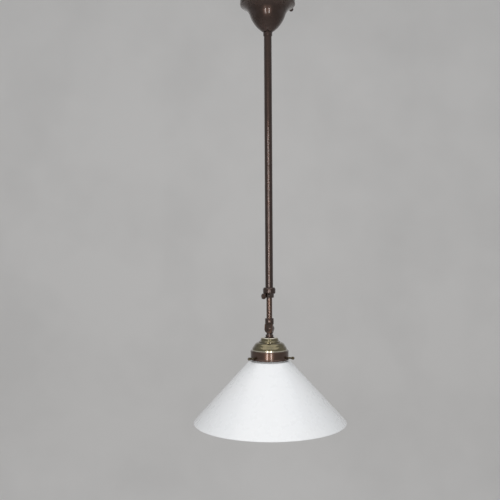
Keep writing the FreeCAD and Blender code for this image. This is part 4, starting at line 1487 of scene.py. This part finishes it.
@dataclass(frozen=True)
class Lamp:
    """One soft area lamp, in metres and watts."""

    name: str
    place: tuple[float, float, float]
    target: tuple[float, float, float]
    width: float
    height: float
    power: float

    def build(self) -> None:
        """Hangs the lamp and turns it on its target."""
        light = bpy.data.lights.new(self.name, "AREA")
        light.shape = "RECTANGLE"
        light.size, light.size_y, light.energy = self.width, self.height, self.power
        item = bpy.data.objects.new(self.name, light)
        item.location = self.place
        way = Vector(self.target) - Vector(self.place)
        item.rotation_euler = way.to_track_quat("-Z", "Y").to_euler()
        bpy.context.scene.collection.objects.link(item)


@dataclass(frozen=True)
class Studio:
    """A pale sweep, soft lamps and the camera of the photograph."""

    frame_width: float = 500.0
    focal: float = 700.0
    sensor: float = 36.0
    eye: tuple[float, float, float] = (-0.03106, -1.1454, -0.414)
    roll: float = -0.336
    floor: float = -2.30
    front: float = -7.0
    back: float = 1.8
    top: float = 4.0
    half_width: float = 7.0
    bend: float = 0.9
    bend_steps: int = 12
    lamps: tuple[Lamp, ...] = (
        Lamp("front_left", (-0.50, -1.75, -0.45), (0.0, 0.0, -0.40), 0.13, 1.2, 8.0),
        Lamp("front_right", (0.27, -1.80, -0.45), (0.0, 0.0, -0.40), 0.11, 1.2, 6.5),
        Lamp("overhead", (0.0, -0.5, 1.4), (0.0, 0.0, -0.5), 3.4, 2.4, 22.0))
    room: float = 0.42
    air: Colour = (0.96, 0.98, 1.0)
    paper: Colour = (0.80, 0.785, 0.77)
    paper_cloud: float = 1.6
    paper_span: Span = (0.4, 0.65)
    paper_dark: float = 0.94
    paper_rough: float = 0.9
    paper_gloss: float = 0.1

    def world(self) -> None:
        """A soft, even room."""
        world = bpy.data.worlds.new("studio")
        bpy.context.scene.world = world
        world.use_nodes = True
        sky = world.node_tree.nodes["Background"]
        sky.inputs["Color"].default_value = (*self.air, 1.0)
        sky.inputs["Strength"].default_value = self.room

    def sweep(self) -> None:
        """The floor, bent up into a backdrop behind the lamp."""
        line = [(self.front, self.floor), (self.back, self.floor)]
        for step in range(1, self.bend_steps + 1):
            angle = math.pi / 2 * step / self.bend_steps
            line.append((self.back + self.bend * math.sin(angle),
                         self.floor + self.bend * (1 - math.cos(angle))))
        line.append((self.back + self.bend, self.top))
        half = self.half_width
        points = [(side * half, y, z) for y, z in line for side in (-1, 1)]
        faces = [(2 * i, 2 * i + 1, 2 * i + 3, 2 * i + 2) for i in range(len(line) - 1)]
        mesh = bpy.data.meshes.new("sweep")
        mesh.from_pydata(points, [], faces)
        mesh.shade_smooth()
        paper = Shader("studio_paper")
        mottle = paper.noise(self.paper_cloud, 3.0)
        darker = tuple(part * self.paper_dark for part in self.paper)
        colour = paper.blend(paper.span(mottle, *self.paper_span, 0.0, 1.0), self.paper, darker)
        paper.feed(Base_Color=colour, Roughness=self.paper_rough, Specular_IOR_Level=self.paper_gloss)
        mesh.materials.append(paper.material)
        item = bpy.data.objects.new("sweep", mesh)
        bpy.context.scene.collection.objects.link(item)

    def camera(self) -> None:
        """The camera at the photograph's place."""
        lens = bpy.data.cameras.new("camera")
        lens.sensor_width = self.sensor
        lens.lens = self.focal / self.frame_width * self.sensor
        item = bpy.data.objects.new("camera", lens)
        turn = Matrix.Rotation(math.pi / 2, 4, "X") @ Matrix.Rotation(math.radians(self.roll), 4, "Z")
        item.matrix_world = Matrix.Translation(self.eye) @ turn
        bpy.context.scene.collection.objects.link(item)
        bpy.context.scene.camera = item

    def build(self) -> None:
        """Builds the studio."""
        bpy.context.scene.view_settings.view_transform = "Standard"
        self.world()
        self.sweep()
        for lamp in self.lamps:
            lamp.build()
        self.camera()
        log.info("studio: floor at %.2f m, %d lamps", self.floor, len(self.lamps))


def main() -> None:
    """Builds the pendant and the studio."""
    logging.basicConfig(level=logging.INFO, format="%(name)s: %(message)s")
    shop = Workshop()
    for assembly in (CeilingFittings(), Canopy(), Tubes(), LockCollar(), Knuckle(), Gallery(),
                     Shade(), Lampholder()):
        assembly.build(shop)
        log.info("%s is built", type(assembly).__name__)
    Studio().build()
    log.info("%d pieces in all", shop.count)


if __name__ == "__main__":
    main()
